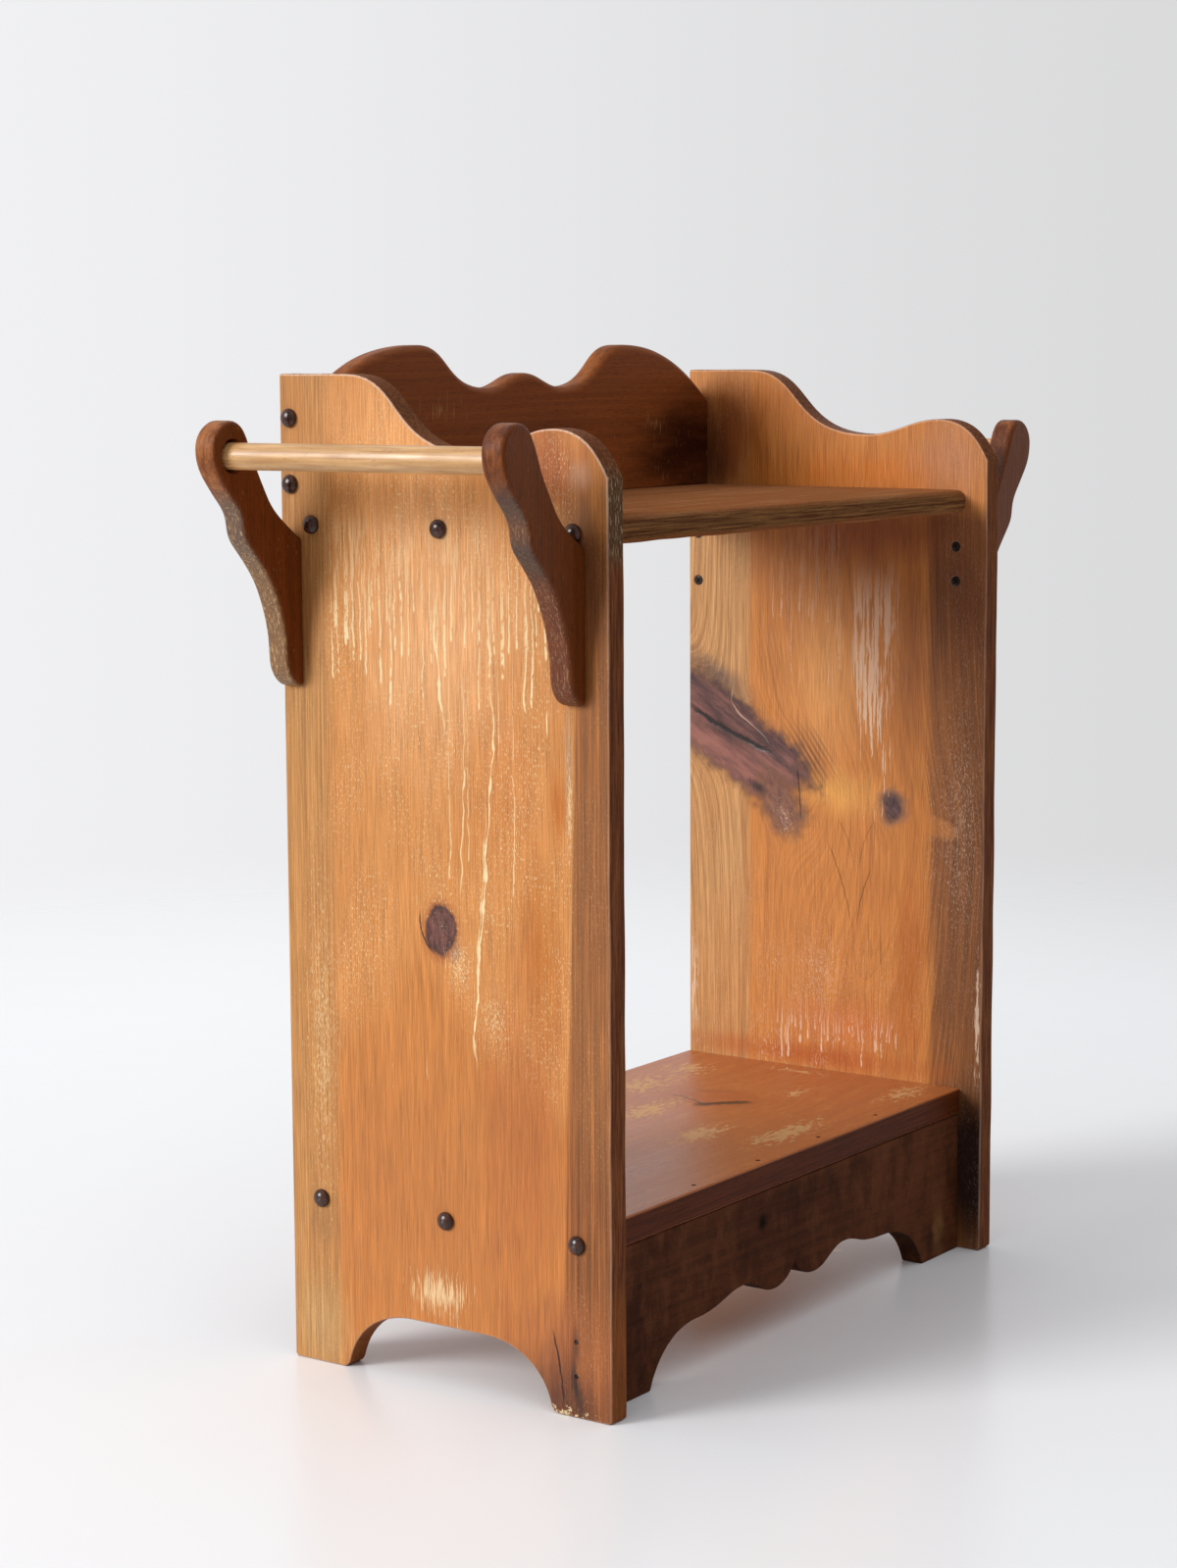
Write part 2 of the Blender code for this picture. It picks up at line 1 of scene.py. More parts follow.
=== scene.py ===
# Washstand of old varnished pine: the looks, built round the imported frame.
# Metres, +Z up, front towards -Y, as in the frame.
import math
from functools import partial

import bmesh
import bpy
from mathutils import Matrix, Vector, geometry, noise


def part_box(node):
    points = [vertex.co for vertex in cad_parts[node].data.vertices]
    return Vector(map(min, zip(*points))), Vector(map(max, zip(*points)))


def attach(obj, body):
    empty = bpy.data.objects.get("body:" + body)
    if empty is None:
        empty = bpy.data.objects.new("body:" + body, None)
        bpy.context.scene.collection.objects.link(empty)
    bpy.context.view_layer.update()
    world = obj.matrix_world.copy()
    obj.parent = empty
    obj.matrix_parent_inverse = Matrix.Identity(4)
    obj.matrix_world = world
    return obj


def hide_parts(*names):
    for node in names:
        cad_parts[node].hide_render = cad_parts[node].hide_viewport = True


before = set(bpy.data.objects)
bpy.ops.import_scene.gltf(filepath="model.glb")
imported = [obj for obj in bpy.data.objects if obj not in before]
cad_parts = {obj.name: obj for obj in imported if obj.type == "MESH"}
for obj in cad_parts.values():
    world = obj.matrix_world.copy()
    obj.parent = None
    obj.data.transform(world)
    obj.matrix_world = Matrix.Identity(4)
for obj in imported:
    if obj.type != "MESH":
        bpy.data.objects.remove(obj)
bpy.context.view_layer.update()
print("frame loaded:", len(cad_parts), "nodes")
noise.seed_set(7)  # the same hand-sawn waver each run


# Colours and nodes

def toLinear(hexCode):
    # sRGB hex to the linear colour that a socket takes
    channels = [int(hexCode[i:i + 2], 16) / 255 for i in (1, 3, 5)]
    return (*[c / 12.92 if c <= 0.04045 else ((c + 0.055) / 1.055) ** 2.4 for c in channels], 1)


def fillSockets(tree, pairs):
    # a socket takes another node's socket, a hex colour or a plain value
    for socket, value in pairs:
        if isinstance(value, bpy.types.NodeSocket):
            tree.links.new(value, socket)
        else:
            socket.default_value = toLinear(value) if isinstance(value, str) else value


modeOf = {"Math": "operation", "VectorMath": "operation", "MapRange": "interpolation_type", "Mix": "data_type",
          "Mapping": "vector_type", "TexNoise": "noise_dimensions", "TexWhiteNoise": "noise_dimensions"}
shortKinds = {"Smoothstep": "MapRange SMOOTHSTEP", "Mix": "Mix RGBA"}


def addNode(tree, kind, *values, **named):
    # one node of a kind and mode, such as "VectorMath ADD", or just "ADD" for Math; its open sockets take the
    # values in turn, and a value too many goes with the result into a further node of that kind
    typeName, *mode = shortKinds.get(kind, "Math " + kind if kind.isupper() else kind).split()
    made = tree.nodes.new("ShaderNode" + typeName)
    for choice in mode:
        setattr(made, modeOf[typeName], choice)
    opened = [s for s in made.inputs if s.enabled]
    pairs = list(zip(opened, values))
    for key, value in named.items():
        if key in made.inputs:
            pairs.append((made.inputs[key], value))
        else:
            setattr(made, key, value)
    fillSockets(tree, pairs)
    result = next((s for s in made.outputs if s.enabled), made)
    further = values[len(opened):]
    return addNode(tree, kind, result, *further) if further else result


def startMaterial(name):
    material = bpy.data.materials.new(name)
    material.use_nodes = True
    add = partial(addNode, material.node_tree)
    return material, add, add("TexCoord").node.outputs["Object"]


def setShader(material, colour, dull, more):
    # links and constants for the material's own shader
    tree = material.node_tree
    shader = tree.nodes["Principled BSDF"]
    sockets = {"Base Color": colour, "Roughness": dull, **more}
    fillSockets(tree, [(shader.inputs[key], value) for key, value in sockets.items()])
    return shader


def patternAt(add, coords, sizeMm, detail=2, rough=0.5):
    # cloudy pattern whose blobs have this size across, through and along the board, in mm
    scaled = add("VectorMath MULTIPLY", coords, [1000 / s for s in sizeMm])
    return add("TexNoise", scaled, 1, detail, rough)


def swayed(add, coords, sizeMm, reach):
    # coordinates pushed to and fro across the board
    push = patternAt(add, coords, sizeMm).node.outputs["Color"]
    push = add("VectorMath SUBTRACT", push, (0.5, 0.5, 0.5))
    return add("VectorMath MULTIPLY_ADD", push, (reach, 0, 0), coords)


def distanceFrom(add, value, middle):
    return add("ABSOLUTE", add("SUBTRACT", value, middle))


def ovalReach(add, coords, across, along, wide, tall, turn=0, boxy=False, **other):
    # 0 in the middle of an oval spot on the board's face, 1 on its rim
    local = add("Mapping TEXTURE", coords, (across, 0, along), (0, math.radians(turn), 0), (wide, 10, tall))
    if not boxy:
        return local, add("VectorMath LENGTH", local)
    return local, add("SQRT", add("VectorMath LENGTH", add("VectorMath MULTIPLY", local, local)))


# Old varnish that has let go of the wood: pale streaks along the grain with ragged tips, and drips

def flakedStreaks(add, coords, across, along, low, high, top, tip, fade, thick, widthMm, show, stretch):
    columns = patternAt(add, coords, (widthMm, 900, widthMm * stretch), 3, 0.6)
    uneven = patternAt(add, coords, (12, 900, 260), 1)
    limit = add("MULTIPLY_ADD", uneven, 0.34, add("MapRange", along, top, tip, thick, 0.58))
    bare = add("Smoothstep", add("SUBTRACT", columns, limit), 0, 0.03)
    half = (high - low) / 2
    inside = add("Smoothstep", distanceFrom(add, across, (low + high) / 2), half, half * 0.75)
    head = add("Smoothstep", along, top + fade, top)
    return add("MULTIPLY", bare, inside, head, add("MapRange", along, top, tip, *show))


def dripRow(add, coords, across, along, low, high, top, tipHigh, tipLow, stripMm, seed, widthMm, share, show):
    # each narrow strip of the board has one thin drip, with its own course, end and width
    sway = add("MapRange", patternAt(add, coords, (26, 900, 22)), 0, 1, -0.003, 0.003)
    strip = add("MULTIPLY_ADD", add("ADD", across, sway), 1000 / stripMm, seed)
    draw = add("TexWhiteNoise 1D", add("FLOOR", strip)).node.outputs
    first, second, third = add("SeparateColor", draw["Color"]).node.outputs
    off = distanceFrom(add, add("FRACT", strip), add("MapRange", first, 0, 1, 0.3, 0.7))
    end = add("MapRange", second, 0, 1, tipHigh, tipLow)
    run = add("MapRange", along, top, end)
    width = add("MapRange", third, 0, 1, *[w / 2 / stripMm for w in widthMm])
    width = add("MULTIPLY", width, add("MapRange", run, 0, 1, 0.45, 1))
    line = add("Smoothstep", add("DIVIDE", off, width), 1.15, 0.6)
    tail = add("Smoothstep", add("SUBTRACT", along, end), 0, 0.003)
    head = add("MapRange", along, top + 0.012, top - 0.012)
    torn = add("MapRange", patternAt(add, coords, (3, 900, 6), 3, 0.6), 0.36, 0.48)
    kept = add("LESS_THAN", draw["Value"], share)
    inside = add("LESS_THAN", distanceFrom(add, across, (low + high) / 2), (high - low) / 2)
    return add("MULTIPLY", line, tail, head, torn, kept, add("MapRange", run, 0, 1, *show), inside)


def longRun(add, coords, across, along, fromAcross, fromAlong, toAcross, toAlong, widthMm, show):
    # one long thin drip that wanders down the board
    course = add("Smoothstep", along, fromAlong, toAlong, fromAcross, toAcross)
    wander = add("MapRange", patternAt(add, coords, (40, 900, 34)), 0, 1, -0.006, 0.006)
    off = distanceFrom(add, across, add("ADD", course, wander))
    width = patternAt(add, coords, (50, 900, 14), 3, 0.6)
    width = add("MapRange", width, 0.4, 0.68, widthMm / 5000, widthMm / 1000)
    line = add("Smoothstep", add("DIVIDE", off, width), 1, 0.4, 0, show)
    head = add("MapRange", along, fromAlong + 0.02, fromAlong - 0.02)
    return add("MULTIPLY", line, head, add("MapRange", along, toAlong, toAlong + 0.03))


def crackLine(add, coords, fromAcross, fromAlong, toAcross, toAlong, widthMm, show, bowMm=0):
    # thin dark check in the wood, bowed, from one end to the other
    lean, rise = toAcross - fromAcross, toAlong - fromAlong
    local, _ = ovalReach(add, coords, (fromAcross + toAcross) / 2, (fromAlong + toAlong) / 2, widthMm / 2000,
                         math.hypot(lean, rise) / 2, math.degrees(math.atan2(lean, rise)))
    side, _, run = add("SeparateXYZ", local).node.outputs
    square = add("MULTIPLY", run, run)
    bent = add("MULTIPLY_ADD", square, bowMm * 2 / widthMm, side)
    jag = 0.5 + 1.8 / widthMm
    ragged = add("MapRange", patternAt(add, coords, (6, 900, 6), 3, 0.6), 0, 1, -jag, jag)
    line = add("Smoothstep", add("ABSOLUTE", add("ADD", bent, ragged)), 1.2, 0.3, 0, show)
    return add("MULTIPLY", line, add("MapRange", square, 1, 0.5))


# Marks on a board are rows under named columns; across and along run over its face

spotColumns = "across along wide tall | colour show"
pathColumns = "fromAcross fromAlong toAcross toAlong | widthMm show bowMm"
markColumns = {
    "patches": spotColumns, "stains": spotColumns, "runs": pathColumns, "cracks": pathColumns,
    "scuffs": "across along wide tall | thick show grainMm",
    "knots": "across along wide tall | heart heartLight halo haloShow haloWide ragged blur",
    "staves": "seam soft | slant side early late glow show",
    "streaks": "low high top tip fade | thick widthMm show stretch",
    "drips": "low high top tipHigh tipLow | stripMm seed widthMm share show",
    "rimBands": "low high | colour show chips",
    "smears": "| sizeMm start colour show",
}


def table(columns, rows):
    # columns before the bar are in mm and kept as metres; a row may end with extras of its own
    lengths, plain = (part.split() for part in columns.split("|"))
    made = []
    for row in rows:
        extras = row[-1] if isinstance(row[-1], dict) else {}
        values = [v / 1000 for v in row[:len(lengths)]] + list(row[len(lengths):])
        made.append({**dict(zip(lengths + plain, values)), **extras})
    return made


# Sawn pine: rings round a pith behind the face give lines that crowd at the board's sides; knots push
# them aside; worn varnish leaves the wood paler and flecked, and bare edges go dark with handling.

def makePine(base, **own):
    look = {**base, **own}
    marks = {key: table(columns, look.get(key, ())) for key, columns in markColumns.items()}
    material, add, coords = startMaterial(look["name"])
    split = add("SeparateXYZ", coords).node.outputs
    coords = add("CombineXYZ", *[split[axis] for axis in look["axes"]])
    across, through, along = add("SeparateXYZ", coords).node.outputs
    shaky = swayed(add, coords, (8, 8, 9), 0.0024)

    # growth rings, pushed aside by the knots
    bent = swayed(add, coords, (120, 120, 480), look["waver"])
    knots = []
    for spot in marks["knots"]:
        local, reach = ovalReach(add, coords, **spot)
        knots.append((spot, local, reach))
        pull = add("POWER", reach, -2, use_clamp=True)
        away = add("VectorMath SUBTRACT", bent, (spot["across"], 0, spot["along"]))
        away = add("VectorMath MULTIPLY", add("VectorMath SCALE", away, pull), (1, 0, 1))
        bent = add("VectorMath SUBTRACT", bent, away)
    fromPith = add("VectorMath SUBTRACT", bent, (*look["pith"], look.get("pithAlong", 0)))
    radius = add("VectorMath LENGTH", add("VectorMath MULTIPLY", fromPith, (1, 1, look["taper"])))
    seasons = add("TexNoise 1D", add("MULTIPLY", radius, 1000 / (look["ringMm"] * 3.2)), 1, 2)
    years = add("MULTIPLY_ADD", seasons, 3, add("MULTIPLY", radius, 1000 / look["ringMm"]))
    ring = add("FRACT", years)
    late = add("Smoothstep", ring, 0.2, 0.9)
    close = add("Smoothstep", ring, 1, 0.88)
    dry = add("TexWhiteNoise 1D", add("FLOOR", years)).node.outputs["Value"]
    late = add("MULTIPLY", late, close, add("MapRange", dry, 0, 1, 0.25, 1))
    fibre = patternAt(add, coords, (0.7, 0.7, 30), 3, 0.6)
    grain = add("MapRange", fibre, 0.3, 0.7, -0.3, 0.3)
    late = add("ADD", late, grain, use_clamp=True)

    # wood colour: early and late wood, long streaks, then slow drift over the board
    colour = add("Mix", add("MULTIPLY", late, look["ringShow"]), look["early"], look["late"])
    streak = add("MapRange", patternAt(add, bent, (4.5, 4.5, 420), 4, 0.6), 0.42, 0.66, 0, look["driftShow"])
    colour = add("Mix", streak, colour, look["drift"])
    cloud = patternAt(add, coords, (70, 70, 190), 3, 0.55)

    # staves glued on at the board's sides, of tighter and duller wood
    staves = None
    for stave in marks["staves"]:
        blend = stave["side"] * stave["soft"]
        past = add("SUBTRACT", across, add("MULTIPLY_ADD", along, stave["slant"], stave["seam"]))
        if stave["soft"] > 0.004:  # a seam that fades in streaks
            past = add("MULTIPLY_ADD", streak, blend, past)
        inStave = add("Smoothstep", past, 0, blend)
        for gap in table(spotColumns, stave.get("gaps", ())):
            clear = add("Smoothstep", ovalReach(add, coords, **gap)[1], 0.6, 1.2, 0.35)
            inStave = add("MULTIPLY", inStave, clear)
        lined = patternAt(add, bent, (1.6, 1.6, 150), 3, 0.65)
        dark = add("MapRange", lined, 0.34, 0.56, 0.6, 0)
        dark = add("MULTIPLY_ADD", late, 0.4, dark, use_clamp=True)
        wood = add("Mix", dark, stave["early"], stave["late"])
        wood = add("Mix", add("MapRange", lined, 0.54, 0.72, 0, 0.8), wood, stave["glow"])
        fading = add("MapRange", cloud, 0.3, 0.7, stave["show"], stave["show"] * 0.6)
        if "top" in stave:
            below = add("MapRange", along, stave["top"] + 0.01, stave["top"] - 0.01, 0.25)
            fading = add("MULTIPLY", fading, below)
        colour = add("Mix", add("MULTIPLY", fading, inStave), colour, wood)
        staves = inStave if staves is None else add("MAXIMUM", staves, inStave)

    # worn varnish above a ragged line that falls away from its peak
    peak, fallOff = look.get("wornPeak", (0, 0))
    line = add("MULTIPLY_ADD", distanceFrom(add, across, peak), fallOff, along)
    line = add("MULTIPLY_ADD", cloud, look["wornRagged"], line)
    worn = add("Smoothstep", line, *look["wornAlong"])
    pale = add("MULTIPLY", worn, add("MapRange", cloud, 0.3, 0.7, look["wornShow"], look["wornShow"] * 0.4))
    if staves is not None:
        pale = add("MULTIPLY", pale, add("MapRange", staves, 0, 1, 1, 0.25))
        worn = add("MAXIMUM", worn, staves)
    colour = add("Mix", pale, colour, look["worn"])

    # places where stain, sun and hands left the board another colour, and patches of painted light and shade
    blotch = patternAt(add, bent, (16, 16, 60), 3, 0.6)
    for patch in marks["patches"]:
        local, reach = ovalReach(add, coords, **patch)
        reach = add("MULTIPLY_ADD", blotch, patch.get("ragged", 0.9), reach)
        cover = add("Smoothstep", reach, 1.5, 0.5, 0, patch["show"])
        if "under" in patch:  # on the face at the lower side only
            cover = add("MULTIPLY", cover, add("LESS_THAN", through, patch["under"]))
        if "lines" in patch:  # crowded rings, as dark lines along the spot
            side = add("SeparateXYZ", local).node.outputs[0]
            side = add("PINGPONG", add("MULTIPLY_ADD", side, patch["lines"], blotch), 1)
            cover = add("MULTIPLY", cover, add("MapRange", side, 0.2, 0.8, 0.15))
        colour = add("Mix", cover, colour, patch["colour"])
    for smear in marks["smears"]:
        rubbedOn = patternAt(add, shaky, smear["sizeMm"], 4, 0.6)
        rubbedOn = add("MapRange", rubbedOn, smear["start"], smear["start"] + 0.16, 0, smear["show"])
        colour = add("Mix", rubbedOn, colour, smear["colour"])

    # fibres, and open pores as thin dark lines along the grain
    shade = add("MapRange", fibre, 0.25, 0.75, 1 - look["fibreShow"], 1 + look["fibreShow"])
    pore = patternAt(add, shaky, look.get("poreMm", (0.6, 0.6, 9)))
    pore = add("Smoothstep", pore, 0.57, 0.7, 1, 1 - look.get("poreShow", 0.4))
    shade = add("MULTIPLY", shade, pore)
    colour = add("Mix", 1, colour, shade, blend_type="MULTIPLY")

    # knots: hard dark heart with a darker rim, in a brown halo that the rings crowd into
    hard = None
    rough = patternAt(add, coords, (14, 14, 14), 4, 0.6)
    for spot, local, reach in knots:
        middle, blur = 1 + spot["ragged"] / 2, spot["blur"]
        edge = add("MULTIPLY_ADD", rough, spot["ragged"], reach)
        halo = add("Smoothstep", edge, middle + spot["haloWide"], middle, 0, spot["haloShow"])
        halo = add("MULTIPLY", halo, add("MapRange", late, 0, 1, 0.5, 1))
        colour = add("Mix", halo, colour, spot["halo"])
        heart = add("Smoothstep", edge, middle + blur, middle - blur)
        mottle = add("TexNoise", add("VectorMath MULTIPLY", local, (3.2, 1, 1.9)), 1, 5, 0.65)
        lean = add("SeparateXYZ", local).node.outputs[0]
        lean = add("MULTIPLY_ADD", lean, spot.get("lean", 0), mottle)
        heartWood = add("Mix", add("MapRange", lean, 0.34, 0.68), spot["heart"], spot["heartLight"])
        rimBand = add("Smoothstep", edge, middle - 0.3, middle, 0, 0.6)
        heartWood = add("Mix", rimBand, heartWood, spot["heart"])
        colour = add("Mix", heart, colour, heartWood)
        hard = heart if hard is None else add("MAXIMUM", hard, heart)

    # flecks, drips and scuffs where the varnish is gone
    fleck = patternAt(add, shaky, look["fleckMm"])
    fleck = add("Smoothstep", fleck, look["fleckFrom"], look["fleckFrom"] + 0.08)
    patchy = patternAt(add, coords, (26, 26, 60), 3)
    bare = add("MULTIPLY", fleck, add("MapRange", patchy, 0.4, 0.62, 0.1, look["fleckShow"]))
    if staves is not None:
        bare = add("MULTIPLY", bare, add("MapRange", staves, 0, 1, 1, look["staveFleck"]))
    bare = add("MULTIPLY", bare, worn)
    if hard is not None:
        bare = add("MULTIPLY", bare, add("MapRange", hard, 0, 1, 1, 0.2))
    for key, drawn in (("streaks", flakedStreaks), ("drips", dripRow), ("runs", longRun)):
        for row in marks[key]:
            bare = add("MAXIMUM", bare, drawn(add, shaky, across, along, **row))
    for scuff in marks["scuffs"]:
        cover = add("MapRange", ovalReach(add, coords, **scuff)[1], 1, 0, -0.28, scuff["thick"])
        cover = add("ADD", patternAt(add, shaky, scuff["grainMm"], 4, 0.65), cover)
        bare = add("MAXIMUM", bare, add("Smoothstep", cover, 0.5, 0.6, 0, scuff["show"]))
    colour = add("Mix", bare, colour, look["bare"])

    # stains soak in along the grain
    for stain in marks["stains"]:
        soaked = add("MULTIPLY_ADD", fibre, 0.9, ovalReach(add, coords, **stain)[1])
        soaked = add("Smoothstep", soaked, 1.5, 0.5, 0, stain["show"])
        colour = add("Mix", soaked, colour, stain["colour"])
    gaping = None
    for crack in marks["cracks"]:
        gap = crackLine(add, coords, **crack)
        colour = add("Mix", gap, colour, look["crack"])
        gaping = gap if gaping is None else add("MAXIMUM", gaping, gap)

    # the board's narrow edges: stained, rubbed back to wood in places
    facing = add("SeparateXYZ", add("TexCoord").node.outputs["Normal"]).node.outputs[look["axes"][1]]
    facing = add("ABSOLUTE", facing)
    rim = add("Smoothstep", facing, look.get("rimFrom", 0.93), 0.35)
    rubbed = add("MapRange", patternAt(add, coords, look["rimMm"], 4, 0.65), 0.4, 0.64)
    rimWood = add("Mix", rubbed, look["rim"], look["rimRubbed"])
    chips = add("Smoothstep", patternAt(add, shaky, (1.4, 1.4, 7), 3, 0.6), 0.54, 0.62)
    for band in marks["rimBands"]:
        half = (band["high"] - band["low"]) / 2
        offset = distanceFrom(add, along, (band["low"] + band["high"]) / 2)
        inBand = add("Smoothstep", offset, half + 0.012, half - 0.012, 0, band["show"])
        rimWood = add("Mix", inBand, rimWood, band["colour"])
        rimWood = add("Mix", add("MULTIPLY", chips, inBand, band["chips"]), rimWood, look["bare"])
    rimWood = add("Mix", 1, rimWood, shade, blend_type="MULTIPLY")
    rim = add("MULTIPLY", rim, look["rimShow"])
    colour = add("Mix", rim, colour, rimWood)
    if "arris" in look:  # the corner between face and edge: rubbed pale, and a painted highlight along it
        arris = add("Smoothstep", facing, 0.995, 0.95)
        ending = add("Smoothstep", facing, 0.25, 0.5)
        kept = add("MapRange", rubbed, 0, 1, 0.45, 1)
        wornAndLitTowardTop = add("MapRange", along, 0.6, 0.66, 0.25, look["arrisShow"])
        colour = add("Mix", add("MULTIPLY", arris, ending, kept, wornAndLitTowardTop), colour, look["arris"])

    # gloss: varnish shines, bare wood and rubbed edges don't
    dull = add("MapRange", worn, 0, 1, *look["gloss"])
    dull = add("MULTIPLY_ADD", bare, 0.25, dull)
    dull = add("MULTIPLY_ADD", grain, 0.08, dull, use_clamp=True)
    film = add("MapRange", rim, 0, 1, look["specular"], look.get("rimSpecular", 0.05))

    # relief: hard late wood stands proud, fibres are open, cracks gape
    height = add("MULTIPLY_ADD", late, 0.5, fibre)
    height = add("MULTIPLY_ADD", bare, -0.4, height)
    if gaping is not None:
        height = add("MULTIPLY_ADD", gaping, -3, height)
    relief = add("Bump", Height=height, Strength=look["relief"], Distance=0.0004)
    setShader(material, colour, dull, {"IOR": 1.5, "Specular IOR Level": film, "Normal": relief})
    return material


# Boards are sawn from an outline: knots (u, v, heading in, heading out, ease in, ease out), straight where None

def knot(u, v, arrive=None, leave=None, easeIn=0.39, easeOut=0.39):
    return u, v, arrive, leave, easeIn, easeOut


def bend(u, v, heading, easeIn=0.39, easeOut=0.39):
    return u, v, heading, heading, easeIn, easeOut


def mirrorKnots(half):
    turned = []
    for u, v, arrive, leave, easeIn, easeOut in reversed(half):
        turned.append((-u, v, None if leave is None else -leave, None if arrive is None else -arrive,
                       easeOut, easeIn))
    return turned


def compass(degrees):
    return Vector((math.cos(math.radians(degrees)), math.sin(math.radians(degrees))))


def outlineFace(work, knots, steps):
    # one flat face with the outline, its straight sides cut as finely as its curves
    points = []
    for here, there in zip(knots, knots[1:] + knots[:1]):
        start, end = Vector(here[:2]), Vector(there[:2])
        chord = end - start
        first = start + (chord / 3 if here[3] is None else compass(here[3]) * chord.length * here[5])
        second = end - (chord / 3 if there[2] is None else compass(there[2]) * chord.length * there[4])
        count = steps if here[3] is not None or there[2] is not None else max(1, round(chord.length / 0.008))
        points += geometry.interpolate_bezier(start, first, second, end, count + 1)[:-1]
    return work.faces.new([work.verts.new((p.x, p.y, 0)) for p in points])


def thicken(work, face, thickness):
    # the flat face drawn out into a board, its middle at zero
    lifted = bmesh.ops.extrude_face_region(work, geom=[face])["geom"]
    verts = [g for g in lifted if isinstance(g, bmesh.types.BMVert)]
    bmesh.ops.translate(work, verts=verts, vec=(0, 0, thickness))
    bmesh.ops.translate(work, verts=work.verts, vec=(0, 0, -thickness / 2))


def sawBoard(knots, board):
    # outline, hand-sawn waver, thickness, then rounded rims; board["rounds"] pairs a radius with a test (u, v)
    work = bmesh.new()
    face = outlineFace(work, knots, board["steps"])
    for vert in work.verts:
        if board["free"](vert.co.x, vert.co.y):
            shift = noise.noise_vector(vert.co / board["waverSize"] + Vector(board["seed"])) * board["waver"]
            vert.co += Vector((shift.x, shift.y, 0))
    thicken(work, face, board["thickness"])
    bmesh.ops.recalc_face_normals(work, faces=work.faces)
    for radius, chosen in board["rounds"]:
        rims = []
        for edge in work.edges:
            middle = (edge.verts[0].co + edge.verts[1].co) / 2
            if edge.calc_face_angle(0) > math.radians(60) and chosen(middle.x, middle.y):
                rims.append(edge)
        bmesh.ops.bevel(work, geom=rims, offset=radius, offset_type="OFFSET", segments=board["roundSteps"],
                        profile=0.5, affect="EDGES", clamp_overlap=True, material=-1)
    return work


def spinProfile(profile, steps):
    # round piece from (radius, height) points, turned once about Z
    work = bmesh.new()
    verts = [work.verts.new((r, 0, h)) for r, h in profile]
    edges = [work.edges.new(pair) for pair in zip(verts, verts[1:])]
    bmesh.ops.spin(work, geom=verts + edges, cent=(0, 0, 0), axis=(0, 0, 1), angle=math.tau, steps=steps,
                   use_merge=True)
    bmesh.ops.remove_doubles(work, verts=work.verts, dist=0.00001)
    return work


def facingMatrix(place, facing):
    return Matrix.Translation(place) @ Vector(facing).to_track_quat("Z", "Y").to_matrix().to_4x4()


def addObject(name, data):
    made = bpy.data.objects.new(name, data)
    bpy.context.scene.collection.objects.link(made)
    return made


def meshFrom(work, name):
    mesh = bpy.data.meshes.new(name)
    work.to_mesh(mesh)
    work.free()
    return mesh


def cutPits(piece, pits, slots):
    # tapered pits (mouth, inward, wide, narrow, depth) and box slots cut out of a piece
    drills = bmesh.new()
    for slot in slots:
        bmesh.ops.create_cube(drills, size=1, matrix=slot)
    for mouth, inward, wide, narrow, depth in pits:
        bmesh.ops.create_cone(drills, cap_ends=True, segments=40, radius1=2 * wide - narrow, radius2=narrow,
                              depth=2 * depth, matrix=facingMatrix(mouth, inward))
    whole, drillMesh = piece.data, meshFrom(drills, piece.name + "Drills")
    drill = addObject(piece.name + "Drills", drillMesh)
    cut = piece.modifiers.new("pits", "BOOLEAN")
    cut.operation = "DIFFERENCE"
    cut.solver = "EXACT"
    cut.use_self = bool(slots)
    cut.object = drill
    drilled = piece.evaluated_get(bpy.context.evaluated_depsgraph_get())
    piece.data = bpy.data.meshes.new_from_object(drilled)
    piece.modifiers.clear()
    bpy.data.objects.remove(drill, do_unlink=True)
    bpy.data.meshes.remove(drillMesh)
    bpy.data.meshes.remove(whole)
    piece.data.name = piece.name


def finishPiece(work, place, name, node, material, body="stand", pits=(), slots=()):
    # mesh in place, pits and slots cut, smooth shading kept flat on flats, riding on its body
    bmesh.ops.transform(work, matrix=place, verts=work.verts)
    bmesh.ops.recalc_face_normals(work, faces=work.faces)
    for face in work.faces:
        face.smooth = True
    piece = addObject(name, meshFrom(work, name))
    piece.data.materials.append(material)
    if pits or slots:
        cutPits(piece, pits, slots)
    shaded = bmesh.new()
    shaded.from_mesh(piece.data)
    for edge in shaded.edges:
        edge.smooth = edge.calc_face_angle(0) < math.radians(50)
    shaded.to_mesh(piece.data)
    shaded.free()
    even = piece.modifiers.new("evenShading", "WEIGHTED_NORMAL")
    even.keep_sharp = True
    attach(piece, body)
    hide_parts(node)


upright = Matrix(((0, 0, 1, 0), (1, 0, 0, 0), (0, 1, 0, 0), (0, 0, 0, 1)))  # outline (y, z), thickness along x
crosswise = Matrix(((1, 0, 0, 0), (0, 0, -1, 0), (0, 1, 0, 0), (0, 0, 0, 1)))  # outline (x, z), thickness along y
planes = {"panel": 0.2665, "panelOuter": 0.276, "panelInner": 0.257, "apron": -0.113, "front": -0.1145,
          "rear": 0.1335}  # x of the panels, y of the apron and of the bracket rows
nailPit, seatPit = (0.0018, 0.0018, 0.002), (0.0048, 0.0028, 0.002)  # wide, narrow, depth


def twoTone(name, sizeMm, spread, dark, light, gloss, more):
    # a surface that goes from dark to rubbed in patches of this size
    material, add, coords = startMaterial(name)
    rub = add("MapRange", patternAt(add, coords, sizeMm, 3, 0.6), *spread)
    setShader(material, add("Mix", rub, dark, light), add("MapRange", rub, 0, 1, *gloss), more)
    return material


# Steel: drawn wire and turned screws, dulled and darkened with age

